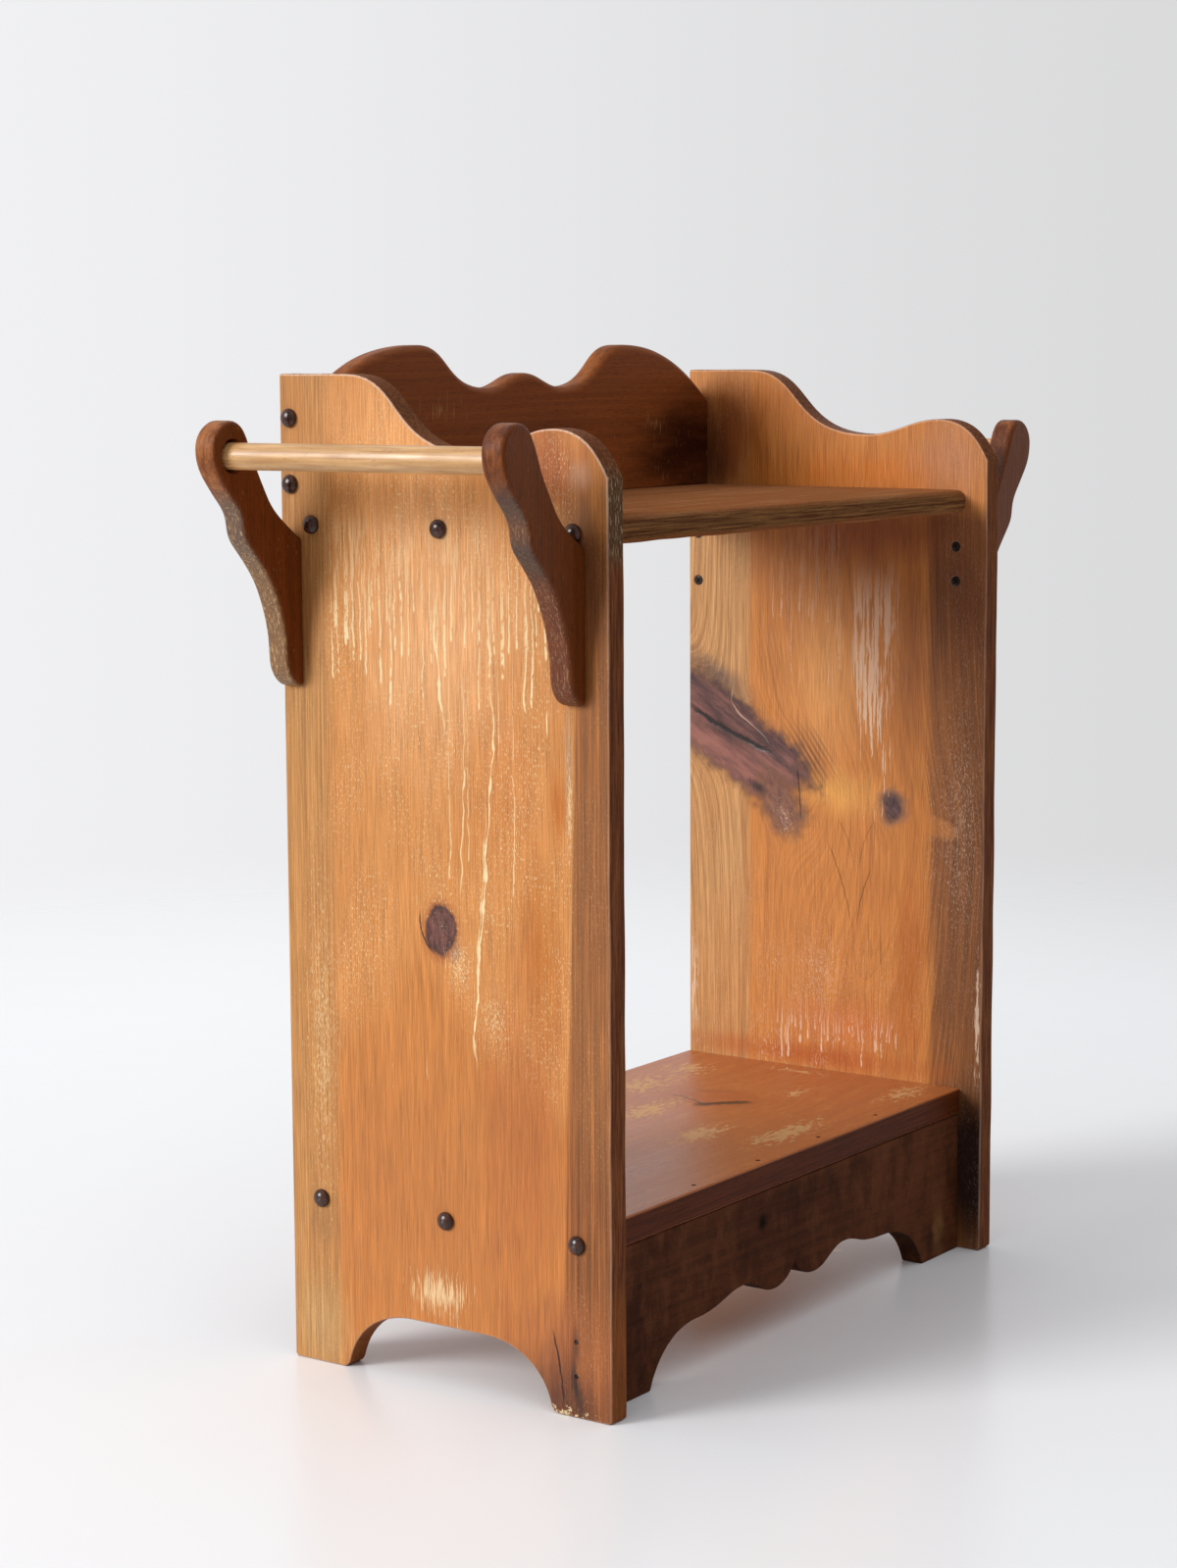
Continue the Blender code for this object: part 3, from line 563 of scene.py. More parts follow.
steel = twoTone("dull dark steel, turned", (1.6, 1.6, 1.6), (0.35, 0.65), "#17120F", "#3E3630", (0.62, 0.4),
                {"Metallic": 0.85})
for name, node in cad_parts.items():
    if name.endswith(("_screw", "_nail")):
        node.data.materials.clear()
        node.data.materials.append(steel)
print("steel on the fasteners")


# Side panels

sidePanel = {
    "thickness": 0.019, "steps": 22, "waver": 0.0006, "waverSize": 0.045, "seed": (3, 1, 0), "roundSteps": 4,
    "free": lambda y, z: z > 0.06 and y < 0.14,
    "rounds": [(0.0017, lambda y, z: True)],
}
panelTop = {"back": 0.143, "front": -0.143, "top": 0.7215, "flat": 0.08, "dip": (-0.03, 0.6705),
            "hump": (-0.098, 0.6845), "drop": 0.0325, "slope": 62}
panelFoot = {"half": 0.092, "flat": 0.032, "height": 0.046, "lean": 75, "worn": 0.006, "undercut": 0.0015,
             "toe": (0.005, 0.003), "heel": 0.002}
handCut = {"left": (0.0028, 0.003), "right": (0.0014, -0.0015)}  # lifts of top and hump, board by board


def panelOutline(topLift, humpLift):
    top, hump = panelTop["top"] + topLift, panelTop["hump"][1] + humpLift
    back, front = panelTop["back"], panelTop["front"]
    half, flat, high, worn, lean, toe, heel = (
        panelFoot[k] for k in ("half", "flat", "height", "worn", "lean", "toe", "heel"))
    inner = half - panelFoot["undercut"]
    return [
        knot(back, heel),
        knot(back, top),
        knot(panelTop["flat"], top, None, 180),
        bend(*panelTop["dip"], 180, easeIn=0.6),
        bend(panelTop["hump"][0], hump, 180),
        knot(front, hump - panelTop["drop"], 180 + panelTop["slope"], None),
        knot(front, toe[1], None, 270),
        knot(front + toe[0], 0, 0, None),
        knot(-half - worn, 0, None, 0),
        bend(-inner, worn, lean),
        knot(-flat, high, 0, None),
        knot(flat, high, None, 0),
        bend(inner, worn, -lean),
        knot(half + worn, 0, 0, None),
        knot(back - heel, 0),
    ]


# honey varnish on knotty boards: orange and satin, with pale bare drips and brown edges
pinePanel = dict(
    axes="YXZ", fibreShow=0.34, staveFleck=0.22, worn="#D19252", bare="#EBD3A3", crack="#1E100C", poreShow=0.42,
    poreMm=(0.5, 0.5, 45), fleckMm=(0.6, 0.6, 3), rim="#5A3020", rimRubbed="#86502F", rimShow=0.94,
    rimMm=(2, 2, 40), rimSpecular=0, arris="#E6C4AC", arrisShow=0.8, gloss=(0.34, 0.52), specular=0.3, relief=0.45)
leftPine = makePine(
    pinePanel, name="knotty pine, planed and varnished, left", pith=(0.24, -0.19), taper=0.02, ringMm=2.2,
    waver=0.008, ringShow=0.3, early="#C27A38", late="#8E5426", drift="#A8642A", driftShow=0.45, wornShow=0.5,
    wornRagged=0.12, wornPeak=(0.02, 0.9), wornAlong=(0.34, 0.41), fleckFrom=0.585, fleckShow=0.85,
    patches=[
        (0, 545, 110, 130, "#E6AC78", 0.65),  # paler under the drips: partly worn varnish, partly painted light on the upper middle of the panel
        # painted light: the top of the panel paler where the light falls stronger
        (40, 690, 100, 60, "#E09C5E", 0.85),
        # partly the darker rear stave, partly painted shadow of the rear bracket
        (122, 570, 26, 90, "#955C2C", 0.7),
        (-86, 320, 22, 110, "#B4691E", 0.85),  # varnish left thick
        (-100, 432, 12, 34, "#B46620", 1),
        (-72, 185, 56, 200, "#A85E28", 0.75),  # browner below
        (16, 130, 130, 160, "#A8642E", 0.5),
        (-56, 450, 46, 120, "#BE7234", 0.5),
        (-96, 660, 50, 42, "#A0562A", 0.9),  # hump, darkened by hands
        # rear stave darker by the bracket's knob: partly its wood, partly painted shadow of the bracket
        (126, 690, 24, 60, "#B87A40", 0.65),
        # dark front stave beside the front bracket, partly painted shadow of the bracket
        (-120, 590, 30, 80, "#6A3A1A", 0.9),
        (-120, 656, 16, 16, "#B88C6E", 0.6, {"turn": 40}),
        (-124, 632, 10, 20, "#6E4E3A", 0.3),
        (-109, 470, 6, 110, "#A08A76", 0.5, {"ragged": 1.3}),  # seam, rubbed grey
        (-108, 40, 80, 66, "#98562A", 0.9),
        (-9, 321, 9, 11, "#86705E", 0.6),
        (-96, 4, 70, 52, "#4E220F", 0.9),  # front foot, dark at the floor
        (115, 30, 34, 50, "#B8905C", 0.7),
        (115, 105, 14, 30, "#8A5E34", 0.6),
    ],
    staves=[
        (93.5, 12, 0.006, 1, "#BC864A", "#7E552E", "#D09A5C", 1),
        (-99.5, 4, -0.028, -1, "#925422", "#4C2A12", "#BA7030", 1.5, {"top": 0.615}),
    ],
    knots=[(2, 335, 14, 18.5, "#341714", "#7A4A40", "#9A4E1C", 0.9, 0.45, 0.5, 0.1)],
    streaks=[(-62, 110, 606, 500, 30, 0.35, 1.6, (0.3, 0.7), 26)],
    drips=[
        (-92, 98, 610, 565, 488, 6.3, 40, (1, 2.2), 0.85, (0.3, 1)),
        (-92, 98, 596, 560, 470, 9.7, 77, (1, 2.6), 0.75, (0.3, 1)),
        (-70, 20, 540, 480, 330, 14, 93, (0.8, 1.5), 0.6, (0.2, 0.7)),
    ],
    runs=[
        (-45, 500, -28, 235, 2, 0.95),
        (-38, 420, -30, 300, 1.4, 0.7),
        (-20, 500, -16, 350, 1.4, 0.75),
        (4, 560, -2, 465, 2.2, 0.95),
    ],
    scuffs=[
        (7, 70, 60, 38, 0.15, 0.6, (1.1, 1.1, 22)),  # above the foot arch
        (-14, 308, 34, 56, 0.05, 0.6, (0.7, 0.7, 2.2)),  # round the knot
        (-44, 275, 44, 70, 0.03, 0.55, (0.7, 0.7, 2.6)),
        (-110, 430, 7, 100, 0.1, 0.6, (0.8, 0.8, 5)),
        (112, 250, 40, 360, 0.03, 0.5, (0.7, 0.7, 4)),  # rear stave
        (-100, 2, 56, 12, 0.08, 0.7, (2.2, 2.2, 2.6)),  # chips at the floor
        (1, 338, 11, 14, 0, 0.7, (0.6, 0.6, 1.2)),
    ],
    stains=[
        (-113, 22, 6, 30, "#241610", 0.95, {"turn": 12}),  # rust round the nails
        (-112, 52, 5, 22, "#3A2216", 0.7),
    ],
    cracks=[(25, 346, 12, 315, 1.2, 1, -5), (-94, 62, -104, 8, 1.6, 1, 1.5)],
    rimBands=[(600, 660, "#4E4030", 0.7, 0.45), (-20, 90, "#8A5028", 0.6, 0)],
)
rightPine = makePine(
    pinePanel, name="knotty pine, planed and varnished, right", pith=(-0.02, 0.3), taper=0.1, pithAlong=0.62,
    ringMm=2.4, waver=0.012, ringShow=0.32, early="#CB813A", late="#93522A", drift="#A86028", driftShow=0.55,
    wornShow=0.3, wornRagged=0.6, wornAlong=(0.75, 0.25), fleckFrom=0.59, fleckShow=0.8, arrisShow=0.3,
    bare="#EACDB2",
    patches=[
        (20, 146, 160, 16, "#B0581E", 0.85),  # redder above the lower shelf
        (-20, 176, 90, 30, "#C26A34", 0.6),
        (-30, 638, 130, 26, "#C8742A", 0.85),  # above the top shelf
        (40, 690, 90, 40, "#BC7234", 0.8),
        # these two: darker stain with painted shade of the backsplash over it, the second on the inner face only
        (105, 670, 50, 70, "#8E4A1C", 0.9),
        (124, 650, 30, 60, "#4A220C", 0.8, {"under": planes["panel"]}),
        (-110, 650, 50, 46, "#B87A50", 0.85),
        (-34, 592, 130, 40, "#8E481C", 0.8),  # below the top shelf: painted shade under it
        (-30, 318, 26, 50, "#A8622C", 0.45, {"lines": 5}),
        (-75, 240, 22, 100, "#B2601F", 0.65),
        (-74, 480, 22, 120, "#8E4E20", 0.6),
        (-130, 540, 42, 80, "#6E3C1C", 0.8),
        (6, 470, 56, 90, "#DC9A58", 0.75),
        (-4, 372, 50, 26, "#E0A04E", 0.8),  # yellow between the knots
        (22, 402, 24, 42, "#5E3616", 0.85, {"turn": 36, "lines": 11}),
        (114, 464, 18, 52, "#4E3C3A", 0.8, {"turn": 61}),
        (60, 478, 20, 50, "#8A5A2E", 0.4, {"turn": 14, "lines": 9}),
        # dark strip on the inner face by the apron: painted shade of the corner, partly dirt
        (-134, 70, 36, 75, "#2A1208", 1, {"ragged": 0.3, "under": planes["panel"]}),
        (-120, 220, 26, 70, "#7A4A26", 0.5),
    ],
    staves=[
        (79, 10, 0, 1, "#C6955E", "#8A5E34", "#DCAE78", 0.9, {"top": 0.61}),
        (-94, 12, 0.014, -1, "#8A5228", "#50301A", "#AE6E3A", 1.1,
         {"top": 0.61, "gaps": [(-98, 351, 9, 22, {"turn": 76})]}),
    ],
    knots=[  # the branch, its stub, the small knot
        (101, 413, 29, 80, "#4A2E2C", "#966053", "#6A4426", 0.8, 0.35, 0.9, 0.16,
         {"turn": 58, "lean": 0.16, "boxy": True}),
        (52, 358, 15, 26, "#5E3A30", "#96644A", "#8A5A34", 0.7, 0.6, 1.2, 0.4, {"turn": 26}),
        (-58, 364, 10.5, 11.2, "#241416", "#6C4C48", "#8A6450", 0.95, 0.8, 1.3, 0.45, {"turn": 30}),
    ],
    streaks=[
        (-66, -16, 525, 335, 50, 0.305, 2, (0.55, 0.85), 26),
        (-16, 60, 570, 440, 40, 0.36, 1.8, (0.2, 0.4), 30),
    ],
    drips=[
        (-64, 54, 182, 168, 138, 6.6, 21, (1, 2.4), 0.8, (0.45, 0.8)),
        (-64, 54, 186, 176, 150, 4.7, 58, (0.8, 1.8), 0.6, (0.35, 0.7)),
        (-10, 60, 572, 540, 455, 9, 5, (1, 2), 0.7, (0.15, 0.45)),
    ],
    runs=[(100, 446, 60, 405, 1.6, 0.6)],
    scuffs=[
        (-122, 360, 70, 340, 0, 0.5, (0.6, 0.6, 2.6)),  # front stave
        (46, 346, 24, 44, 0.02, 0.5, (0.8, 0.8, 2.2), {"turn": 24}),
        (10, 220, 100, 130, 0, 0.5, (0.6, 0.6, 2.2)),
        (138, 200, 12, 120, 0.1, 0.6, (1.2, 1.2, 20)),
        (-139, 190, 5, 110, 0.18, 0.75, (1.4, 1.4, 16)),  # front corner
    ],
    stains=[
        (74, 372, 6, 14, "#241412", 0.9, {"turn": 60}),
        (30, 352, 10, 16, "#5A463C", 0.6),
        (100, 414, 10, 50, "#2E1A18", 0.6, {"turn": 66}),
    ],
    cracks=[
        (146, 436, 56, 398, 5.5, 1, -3),  # along the branch
        (34, 392, 30, 346, 1, 1),
        (2, 332, -22, 262, 1.4, 0.45, 3),  # nested Vs below the small knot
        (-36, 312, -22, 262, 1.4, 0.45, -3),
        (-8, 352, -24, 312, 1.2, 0.32, 3),
        (-38, 352, -24, 312, 1.2, 0.32, -3),
    ],
)
bracketSeats = {"left": (0.593, 0.565, 0.597, 0.557), "right": (0.581, 0.553, 0.585, 0.545)}  # screw heights
footNails = (0.03, 0.055)
for side, sign, pine in (("left", -1, leftPine), ("right", 1, rightPine)):
    pits = [((sign * planes["panelOuter"], planes["apron"], z), (-sign, 0, 0), *nailPit) for z in footNails]
    for row, z in zip(("front", "front", "rear", "rear"), bracketSeats[side]):
        pits.append(((sign * planes["panelInner"], planes[row], z), (sign, 0, 0), *seatPit))
    finishPiece(sawBoard(panelOutline(*handCut[side]), sidePanel),
                Matrix.Translation((sign * planes["panel"], 0, 0)) @ upright,
                side + "SidePanel", side + "_side_panel", pine, pits=pits)
print("side panels sawn")


# Screws in the bracket seats: countersunk, with a cross recess, each stopped at another angle

seatScrew = {"head": 0.0041, "edge": 0.0003, "shank": 0.0021, "cone": 0.0024, "point": 0.006, "arm": 0.0009,
             "span": 0.0052, "deep": 0.0022, "turnedOn": 37}


def camelName(node):
    first, *others = node.split("_")
    return first + "".join(word.capitalize() for word in others)


def boxMiddle(low, high):
    return (low.y + high.y) / 2, (low.z + high.z) / 2


for turn, name in enumerate(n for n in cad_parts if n.endswith("_screw") and "_bracket_" in n):
    low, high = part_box(name)
    sign = -1 if low.x < 0 else 1
    head, edge, shank, cone = (seatScrew[k] for k in ("head", "edge", "shank", "cone"))
    long = high.x - low.x
    work = spinProfile([(0, 0), (head - edge, 0), (head, -edge), (shank, -cone),
                        (shank, seatScrew["point"] - long), (0, -long)], 32)
    facing = facingMatrix((high.x if sign < 0 else low.x, *boxMiddle(low, high)), (-sign, 0, 0))
    slots = []
    for quarter in (0, 90):
        spun = Matrix.Rotation(math.radians(quarter + seatScrew["turnedOn"] * turn), 4, "Z")
        slots.append(facing @ spun @ Matrix.Diagonal((seatScrew["arm"], seatScrew["span"], seatScrew["deep"], 1)))
    finishPiece(work, facing, camelName(name), name, steel, slots=slots)
print("seat screws turned")


# Shelves

def makeShelf(name, node, material, shelf, pits=()):
    front, back, top, under, nose = (shelf[k] for k in ("front", "back", "top", "under", "nose"))
    outline = [
        knot(back, under), knot(back, top), knot(front + nose, top, None, 180), knot(front, top - nose, 270, None),
        knot(front, under + nose, None, 270), knot(front + nose, under, 0, None),
    ]
    work = bmesh.new()
    thicken(work, outlineFace(work, outline, 8), shelf["length"])
    bmesh.ops.transform(work, matrix=upright, verts=work.verts)
    lengthwise = [e for e in work.edges if abs(e.verts[0].co.x - e.verts[1].co.x) > 0.1]
    bmesh.ops.subdivide_edges(work, edges=lengthwise, cuts=64, use_grid_fill=True)
    for vert in work.verts:  # front edge worn uneven along its length
        if vert.co.y < front + nose + 0.001:
            shift = noise.noise_vector(Vector((vert.co.x / shelf["waverSize"], vert.co.z / 0.03, 4)))
            vert.co += Vector((0, shift.y, shift.z)) * shelf["waver"]
    finishPiece(work, Matrix(), name, node, material, pits=pits)


topShelf = {"front": -0.1235, "back": 0.143, "top": 0.627, "under": 0.608, "nose": 0.008, "length": 0.5134,
            "waver": 0.0007, "waverSize": 0.035}
lowerShelf = dict(topShelf, top=0.135, under=0.114, nose=0.0025, waver=0.0003, waverSize=0.06)
stainedShelf = dict(
    axes="YZX", taper=0.05, ringMm=3.2, waver=0.016, ringShow=0.35, fibreShow=0.1, worn="#B9814F", wornShow=0.25,
    wornRagged=1, wornAlong=(0, 0.9), crack="#24120C", fleckMm=(1, 1, 5), fleckFrom=0.64, fleckShow=0.5,
    rimMm=(1.6, 1.6, 90), relief=0.35, bare="#D9AC74", driftShow=0.7)
# rubbed back by use: brown and dull, with a streaked nose
topPine = makePine(
    stainedShelf, name="pine, stained brown, rubbed", pith=(0, 0.58), early="#8C5433", late="#5C3620",
    drift="#724426", rim="#4E3020", rimRubbed="#94683E", rimShow=0.85, rimFrom=0.98,
    gloss=(0.58, 0.66), specular=0, rimSpecular=0,
    smears=[((9, 9, 95), 0.5, "#A87A54", 0.4)])
# still under its varnish: red and glossy, scuffed through to pale wood
lowerPine = makePine(
    stainedShelf, name="pine, stained red and varnished", pith=(0.02, 0.075), early="#BE6A30", late="#8C441A",
    drift="#A45420", rim="#3C180B", rimRubbed="#5C2812", rimShow=0.95, rimFrom=0.97, rimSpecular=0.02,
    gloss=(0.26, 0.36), specular=0.5,
    knots=[(22, 118, 34, 26, "#A65828", "#B8642E", "#9A5224", 0.3, 0.7, 0.6, 0.3)],
    scuffs=[(*spot, 0.9, (4.2, 4.2, 9)) for spot in (
        (100, 125, 50, 110, 0.14), (48, 50, 36, 110, 0.16), (-31, 5, 34, 80, 0.18), (-86, 44, 34, 120, 0.18),
        (-20, 168, 24, 40, 0.14), (-94, 215, 32, 80, 0.14), (105, 194, 50, 50, 0.12), (10, -120, 100, 120, 0.1),
        (20, 238, 80, 14, 0.1),
    )],
    smears=[((9, 9, 30), 0.52, "#CC8244", 0.5)],
    cracks=[(64, 112, 14, 92, 2.4, 0.8, 6), (28, 86, -8, 122, 13, 1, 2), (62, 129, 22, 140, 2, 0.4, -8)])
nailRow = {"middle": 0.005, "apart": 0.088}
nailPits = [((nailRow["middle"] + nailRow["apart"] * i, planes["apron"], lowerShelf["top"]), (0, 0, -1), *nailPit)
            for i in (-1.5, -0.5, 0.5, 1.5)]
makeShelf("topShelfBoard", "top_shelf", topPine, topShelf)
makeShelf("lowerShelfBoard", "lower_shelf", lowerPine, lowerShelf, nailPits)
print("shelves made")


# Backsplash and apron

splashBoard = {
    "thickness": 0.019, "steps": 22, "waver": 0.0005, "waverSize": 0.05, "seed": (8, 2, 0), "roundSteps": 5,
    "free": lambda x, z: z > 0.69,
    "rounds": [(0.0055, lambda x, z: z > 0.6995), (0.0008, lambda x, z: True)],
}
splashCurve = {"half": 0.2567, "base": 0.6273, "end": 0.7, "endSlope": 38, "peak": (0.132, 0.7443),
               "dip": (0.048, 0.7115), "centre": 0.7225}
splashHalf = [
    knot(splashCurve["half"], splashCurve["base"]),
    knot(splashCurve["half"], splashCurve["end"], None, 180 - splashCurve["endSlope"]),
    bend(*splashCurve["peak"], 180),
    bend(*splashCurve["dip"], 180, easeIn=0.6),
]
splashOutline = splashHalf + [bend(0, splashCurve["centre"], 180)] + mirrorKnots(splashHalf)
darkBoard = dict(
    axes="ZYX", taper=0.04, ringMm=3, waver=0.012, ringShow=0.3, fibreShow=0.1, wornRagged=1,
    wornAlong=(0, 0.9), wornShow=0.2, fleckMm=(9, 9, 1.3), fleckFrom=0.66, fleckShow=0.45, rimMm=(8, 8, 20),
    relief=0.25)
# dark stain under a thin film: red-brown with a low shine
splashPine = makePine(
    darkBoard, name="pine, stained dark red-brown", pith=(0.66, 0.2), early="#9C5426", late="#6A3213",
    drift="#7E3F18", driftShow=0.6, worn="#9A5C2A", bare="#CFA068", rim="#5E331A", rimRubbed="#985C30",
    rimShow=0.6, gloss=(0.42, 0.5), specular=0.12,
    patches=[
        (665, 20, 42, 120, "#7C4220", 0.6),
        # painted shade: darker towards the right end, on the front face only
        (656, 226, 70, 120, "#300F04", 0.95, {"under": planes["rear"]}),
    ],
    scuffs=[(695, -110, 26, 80, 0.03, 0.5, (20, 20, 1.3)), (680, 175, 22, 50, 0.03, 0.5, (20, 20, 1.3))])
finishPiece(sawBoard(splashOutline, splashBoard), Matrix.Translation((0, planes["rear"], 0)) @ crosswise,
            "backsplashBoard", "backsplash", splashPine)

apronBoard = {
    "thickness": 0.019, "steps": 18, "waver": 0.0006, "waverSize": 0.03, "seed": (5, 7, 0), "roundSteps": 3,
    "free": lambda x, z: 0.002 < z < 0.08,
    "rounds": [(0.0012, lambda x, z: True)],
}
apronCurve = {"half": 0.2567, "top": 0.1137, "foot": 0.1977, "footSlope": 68, "shoulder": (0.1357, 0.0387),
              "peak": (0.073, 0.048), "lobe": (0.029, 0.0345), "notch": 0.049, "notchSlope": 52}
apronHalf = [
    knot(apronCurve["half"], apronCurve["top"]),
    knot(apronCurve["half"], 0),
    knot(apronCurve["foot"], 0, None, 180 - apronCurve["footSlope"]),
    bend(*apronCurve["shoulder"], 180, easeOut=0.6),
    bend(*apronCurve["peak"], 180),
    bend(*apronCurve["lobe"], 180),
]
apronNotch = knot(0, apronCurve["notch"], 180 - apronCurve["notchSlope"], 180 + apronCurve["notchSlope"])
# stain gone nearly black and blotchy, with hardly any film left to shine
apronPine = makePine(
    darkBoard, name="pine, stained near black, dull", pith=(0.05, -0.04), early="#5C321E", late="#3C2014",
    drift="#422416", driftShow=0.8, worn="#5E3620", bare="#8A6038", rim="#22120C", rimRubbed="#4A2A16",
    rimShow=0.8, gloss=(0.55, 0.62), specular=0.03, relief=0.3,
    patches=[
        (90, -20, 40, 90, "#2E1812", 0.35),
        (70, 80, 40, 40, "#2A1610", 0.3),
        (80, 150, 60, 110, "#6E3E26", 0.6),
        # painted shade: the left end darker
        (50, -215, 70, 80, "#34190F", 0.6),
        (20, 224, 30, 12, "#8A6238", 0.8),  # foot, scraped
    ],
    smears=[((26, 26, 15), 0.48, "#6E4229", 0.45), ((44, 44, 22), 0.5, "#2C170F", 0.5)],
    stains=[(90, -47, 9, 10, "#120906", 1)])
finishPiece(sawBoard(apronHalf + [apronNotch] + mirrorKnots(apronHalf), apronBoard),
            Matrix.Translation((0, planes["apron"], 0)) @ crosswise,
            "frontApronBoard", "front_apron", apronPine)
print("backsplash and apron sawn")


# Brackets and towel rails

bracketBoard = {
    "thickness": 0.019, "steps": 10, "waver": 0.0007, "waverSize": 0.022, "roundSteps": 5,
    "free": lambda u, v: abs(u) > 0.002,
    "rounds": [(0.0038, lambda u, v: abs(u) > 0.0015), (0.0005, lambda u, v: True)],
}
bracketCurve = {"reach": 0.072, "seat": 0.0003, "seatTop": -0.0592, "seatBottom": -0.167, "knob": 0.02,
                "knobInner": 0.023}
bracketOutline = [
    knot(bracketCurve["seat"], bracketCurve["seatBottom"], None, 0),
    bend(0.017, -0.148, 86),
    bend(0.03, -0.0965, 65),
    bend(0.0555, -0.0635, 48),
    bend(0.062, -0.049, 82),
    bend(0.0755, -0.027, 49),
    bend(bracketCurve["reach"] + bracketCurve["knob"], 0.005, 90),
    bend(bracketCurve["reach"], 0.025, 180),
    bend(bracketCurve["reach"] - bracketCurve["knobInner"], -0.002, 247),
    bend(0.0355, -0.027, 243),
    knot(bracketCurve["seat"], bracketCurve["seatTop"], 216, None),
]
# walnut stain: deep brown faces with open grain, the edges greyed and chipped by hands and towels
bracketLook = dict(
    axes="XYZ", taper=0.02, ringMm=2.6, waver=0.014, pith=(0.1, 0), ringShow=0.65, fibreShow=0.34, poreShow=0.5,
    early="#743812", late="#381606", drift="#5E2C0C", driftShow=0.6, worn="#7A4016", wornShow=0.25, wornRagged=1,
    wornAlong=(0, 1.4), bare="#D8BC8C", fleckMm=(0.9, 0.9, 5), fleckFrom=0.66, fleckShow=0.3,
    rimShow=0.92, rimMm=(7, 7, 22), rimFrom=0.9, rimSpecular=0.15, gloss=(0.32, 0.42), specular=0.14, relief=0.5)
bracketPine = {
    "front": makePine(
        bracketLook, name="pine, stained walnut, edges dark", rim="#5A2E1A", rimRubbed="#8C5028",
        rimBands=[(585, 648, "#54463F", 0.9, 0.12), (618, 628, "#84502F", 0.6, 0.4),
                  (470, 590, "#6A3C2A", 0.8, 0.25)]),
    "rear": makePine(
        bracketLook, name="pine, stained walnut, edges worn", rim="#7A4426", rimRubbed="#AA6A3A",
        rimBands=[(590, 640, "#6C5C50", 0.85, 0.5), (470, 600, "#84684C", 0.8, 0.6)]),
}
rails = {"left": (-1, 0.668), "right": (1, 0.656)}
railShape = {"radius": 0.0095, "chamfer": 0.0012, "half": 0.1251, "middle": 0.0095, "out": 0.348}
socketPit = (0.0124, 0.0104, 0.011)  # mouth worn wide by the rail


def makeBirch():
    # turned birch under clear varnish: pale, with short dark pores along the dowel
    material, add, coords = startMaterial("birch dowel, turned and varnished")
    streak = patternAt(add, coords, (2.2, 60, 2.2), 3, 0.6)
    colour = add("Mix", add("MapRange", streak, 0.32, 0.68), "#A8763F", "#E0B074")
    cloud = add("MapRange", patternAt(add, coords, (30, 45, 30)), 0.4, 0.7, 0, 0.5)
    colour = add("Mix", cloud, colour, "#B07C3C")
    pore = add("Smoothstep", patternAt(add, coords, (0.9, 6, 0.9)), 0.62, 0.7, 0, 0.45)
    colour = add("Mix", pore, colour, "#7A5630")
    dull = add("MapRange", cloud, 0, 0.5, 0.34, 0.46)
    relief = add("Bump", Height=streak, Strength=0.15, Distance=0.0003)
    setShader(material, colour, dull, {"IOR": 1.5, "Specular IOR Level": 0.9, "Normal": relief})
    return material


birch = makeBirch()
for side, (sign, height) in rails.items():
    outline = bracketOutline if sign > 0 else mirrorKnots(bracketOutline)
    for row, mouth in (("front", 1), ("rear", -1)):
        board = dict(bracketBoard, seed=(2 * sign, 9 * mouth, 0))
        socket = (sign * railShape["out"], planes[row] + mouth * board["thickness"] / 2, height)
        finishPiece(sawBoard(outline, board),
                    Matrix.Translation((sign * planes["panelOuter"], planes[row], height)) @ crosswise,
                    side + row.capitalize() + "Bracket", side + "_" + row + "_bracket",
                    bracketPine[row], pits=[(socket, (0, -mouth, 0), *socketPit)])
    r, c, h = railShape["radius"], railShape["chamfer"], railShape["half"]
    dowel = spinProfile([(0, h), (r - c, h), (r, h - c), (r, c - h), (r - c, -h), (0, -h)], 64)
    finishPiece(dowel, facingMatrix((sign * railShape["out"], railShape["middle"], height), (0, 1, 0)),
                side + "TowelRail", side + "_towel_rail", birch, body=side + "_rail")
print("brackets and rails made")


# Button plugs: turned beech, stained near black, rubbed on the crown

buttonShape = {"radius": 0.00675, "dome": 0.0042, "domeSteps": 10, "rim": 0.0008, "edge": 0.0002, "lift": 0.0003,
               "plug": 0.00475, "length": 0.006}
buttonWood = twoTone("beech, turned and stained black", (3.5, 3.5, 6), (0.35, 0.7), "#22120D", "#563225",
                     (0.16, 0.28), {"IOR": 1.5, "Specular IOR Level": 0.4})
radius, edge, lift, plug, length = (buttonShape[k] for k in ("radius", "edge", "lift", "plug", "length"))
buttonProfile = []
for step in range(buttonShape["domeSteps"] + 1):
    angle = math.pi / 2 * step / buttonShape["domeSteps"]
    buttonProfile.append((radius * math.sin(angle), lift + buttonShape["rim"] + buttonShape["dome"] * math.cos(angle)))
buttonProfile += [(radius, lift + edge), (radius - edge, lift), (plug, lift), (plug, -length), (0, -length)]
buttons = [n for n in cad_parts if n.endswith("_button")]
for name in buttons:
    low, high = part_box(name)
    sign = -1 if low.x < 0 else 1
    place = facingMatrix((sign * planes["panelOuter"], *boxMiddle(low, high)), (sign, 0, 0))
    finishPiece(spinProfile(buttonProfile, 32), place, camelName(name), name, buttonWood)
print("button plugs turned:", len(buttons))


# Studio: pale painted floor, one big soft light from the left and behind, camera as in the photograph

studio = {"floorSize": 6, "floorFade": (1.2, 2.5), "sun": 2.6, "sunAngle": 26, "sunFrom": (-0.858, 0.513),
          "sunHeight": 21, "backLeft": "#F1F1F3", "backRight": "#DADADB", "backFront": "#B4B4B8",
          "sky": "#F4F6FA", "skyTop": 1, "skyLow": 0.13, "skyLean": 0.45,
          "rightward": (0.576, -0.818, 0), "forward": (0.818, 0.576, 0)}


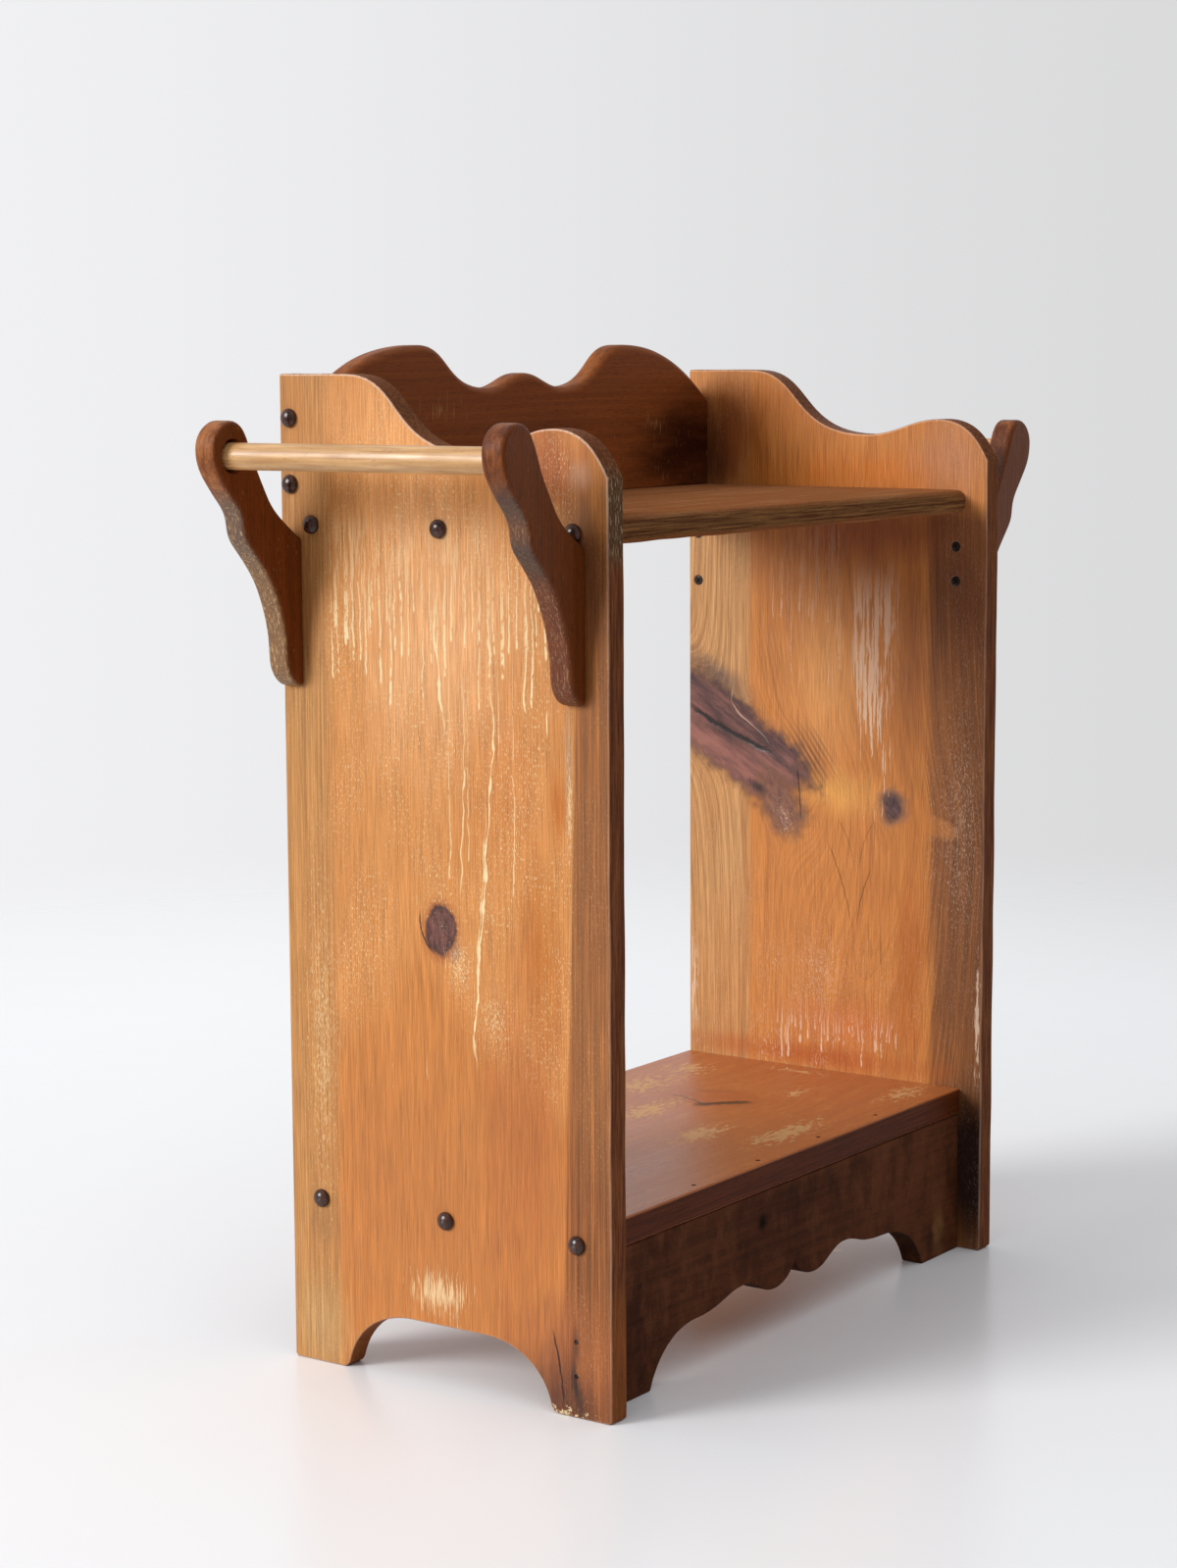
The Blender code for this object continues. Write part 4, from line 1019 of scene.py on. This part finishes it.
def makeFloorPaint():
    # gloss paint on boards: white, with a soft mirror of what stands on it; fades into the backdrop far off
    material, add, coords = startMaterial("white floor paint, rolled")
    # painted falloff of the window light: the paint greyer to the right
    rightward = add("VectorMath DOT_PRODUCT", coords, studio["rightward"])
    colour = add("Mix", add("MapRange", rightward, -0.5, 0.7), "#FDFDFD", "#EFEFF0")
    dull = add("MapRange", patternAt(add, coords, (140, 140, 140), 3), 0, 1, 0.2, 0.3)
    shader = setShader(material, colour, dull, {"IOR": 1.45, "Specular IOR Level": 0.3})
    fade = add("Smoothstep", add("VectorMath LENGTH", coords), *studio["floorFade"])
    mixed = add("MixShader", fade, shader.outputs[0], add("BsdfTransparent"))
    tree = material.node_tree
    tree.links.new(mixed, tree.nodes["Material Output"].inputs["Surface"])
    return material


work = bmesh.new()
bmesh.ops.create_grid(work, x_segments=1, y_segments=1, size=studio["floorSize"])
floor = addObject("studioFloor", meshFrom(work, "studioFloor"))
floor.data.materials.append(makeFloorPaint())

lamp = bpy.data.lights.new("windowLight", "SUN")
lamp.energy = studio["sun"]
lamp.angle = math.radians(studio["sunAngle"])
window = addObject("windowLight", lamp)
tall = math.radians(studio["sunHeight"])
fromLight = Vector((*[c * math.cos(tall) for c in studio["sunFrom"]], math.sin(tall)))
window.rotation_euler = fromLight.to_track_quat("Z", "Y").to_euler()

world = bpy.data.worlds.new("studio")
bpy.context.scene.world = world
world.use_nodes = True
world.node_tree.nodes.clear()
add = partial(addNode, world.node_tree)
direction = add("TexCoord").node.outputs["Generated"]
rise = add("SeparateXYZ", direction).node.outputs["Z"]
level = add("Smoothstep", rise, 0.05, 0.95, studio["skyLow"], studio["skyTop"])
lean = add("VectorMath DOT_PRODUCT", direction, (-studio["skyLean"], 0, 0))  # more sky from the window's side
level = add("MULTIPLY", level, add("ADD", lean, 1))
ambient = add("Background", studio["sky"], level)
# painted falloff of the window light on the backdrop: paler on the left, greyer to the right
rightward = add("VectorMath DOT_PRODUCT", direction, studio["rightward"])
rightward = add("Smoothstep", rightward, -0.22, 0.22)
wall = add("Mix", rightward, studio["backLeft"], studio["backRight"])
forward = add("VectorMath DOT_PRODUCT", direction, studio["forward"])
wall = add("Mix", add("Smoothstep", forward, 0.5, -0.6), wall, studio["backFront"])
backdrop = add("Background", wall, 1)
rays = add("LightPath").node.outputs
seen = add("MAXIMUM", *[rays["Is " + kind + " Ray"] for kind in ("Camera", "Glossy", "Transmission")])
add("OutputWorld", add("MixShader", seen, ambient, backdrop))

shot = {"place": (-2.062, -1.383, 0.74), "azimuth": 54.86, "pitch": 7.61, "roll": -0.296, "lens": 74.59}
cameraData = bpy.data.cameras.new("photoCamera")
cameraData.lens = shot["lens"]
cameraData.sensor_width = 36
camera = addObject("photoCamera", cameraData)
camera.matrix_world = Matrix.Translation(shot["place"])
for degrees, axis in ((-shot["azimuth"], "Z"), (90 - shot["pitch"], "X"), (shot["roll"], "Z")):
    camera.matrix_world = camera.matrix_world @ Matrix.Rotation(math.radians(degrees), 4, axis)
bpy.context.scene.camera = camera
bpy.context.scene.view_settings.view_transform = "Standard"
print("studio set")
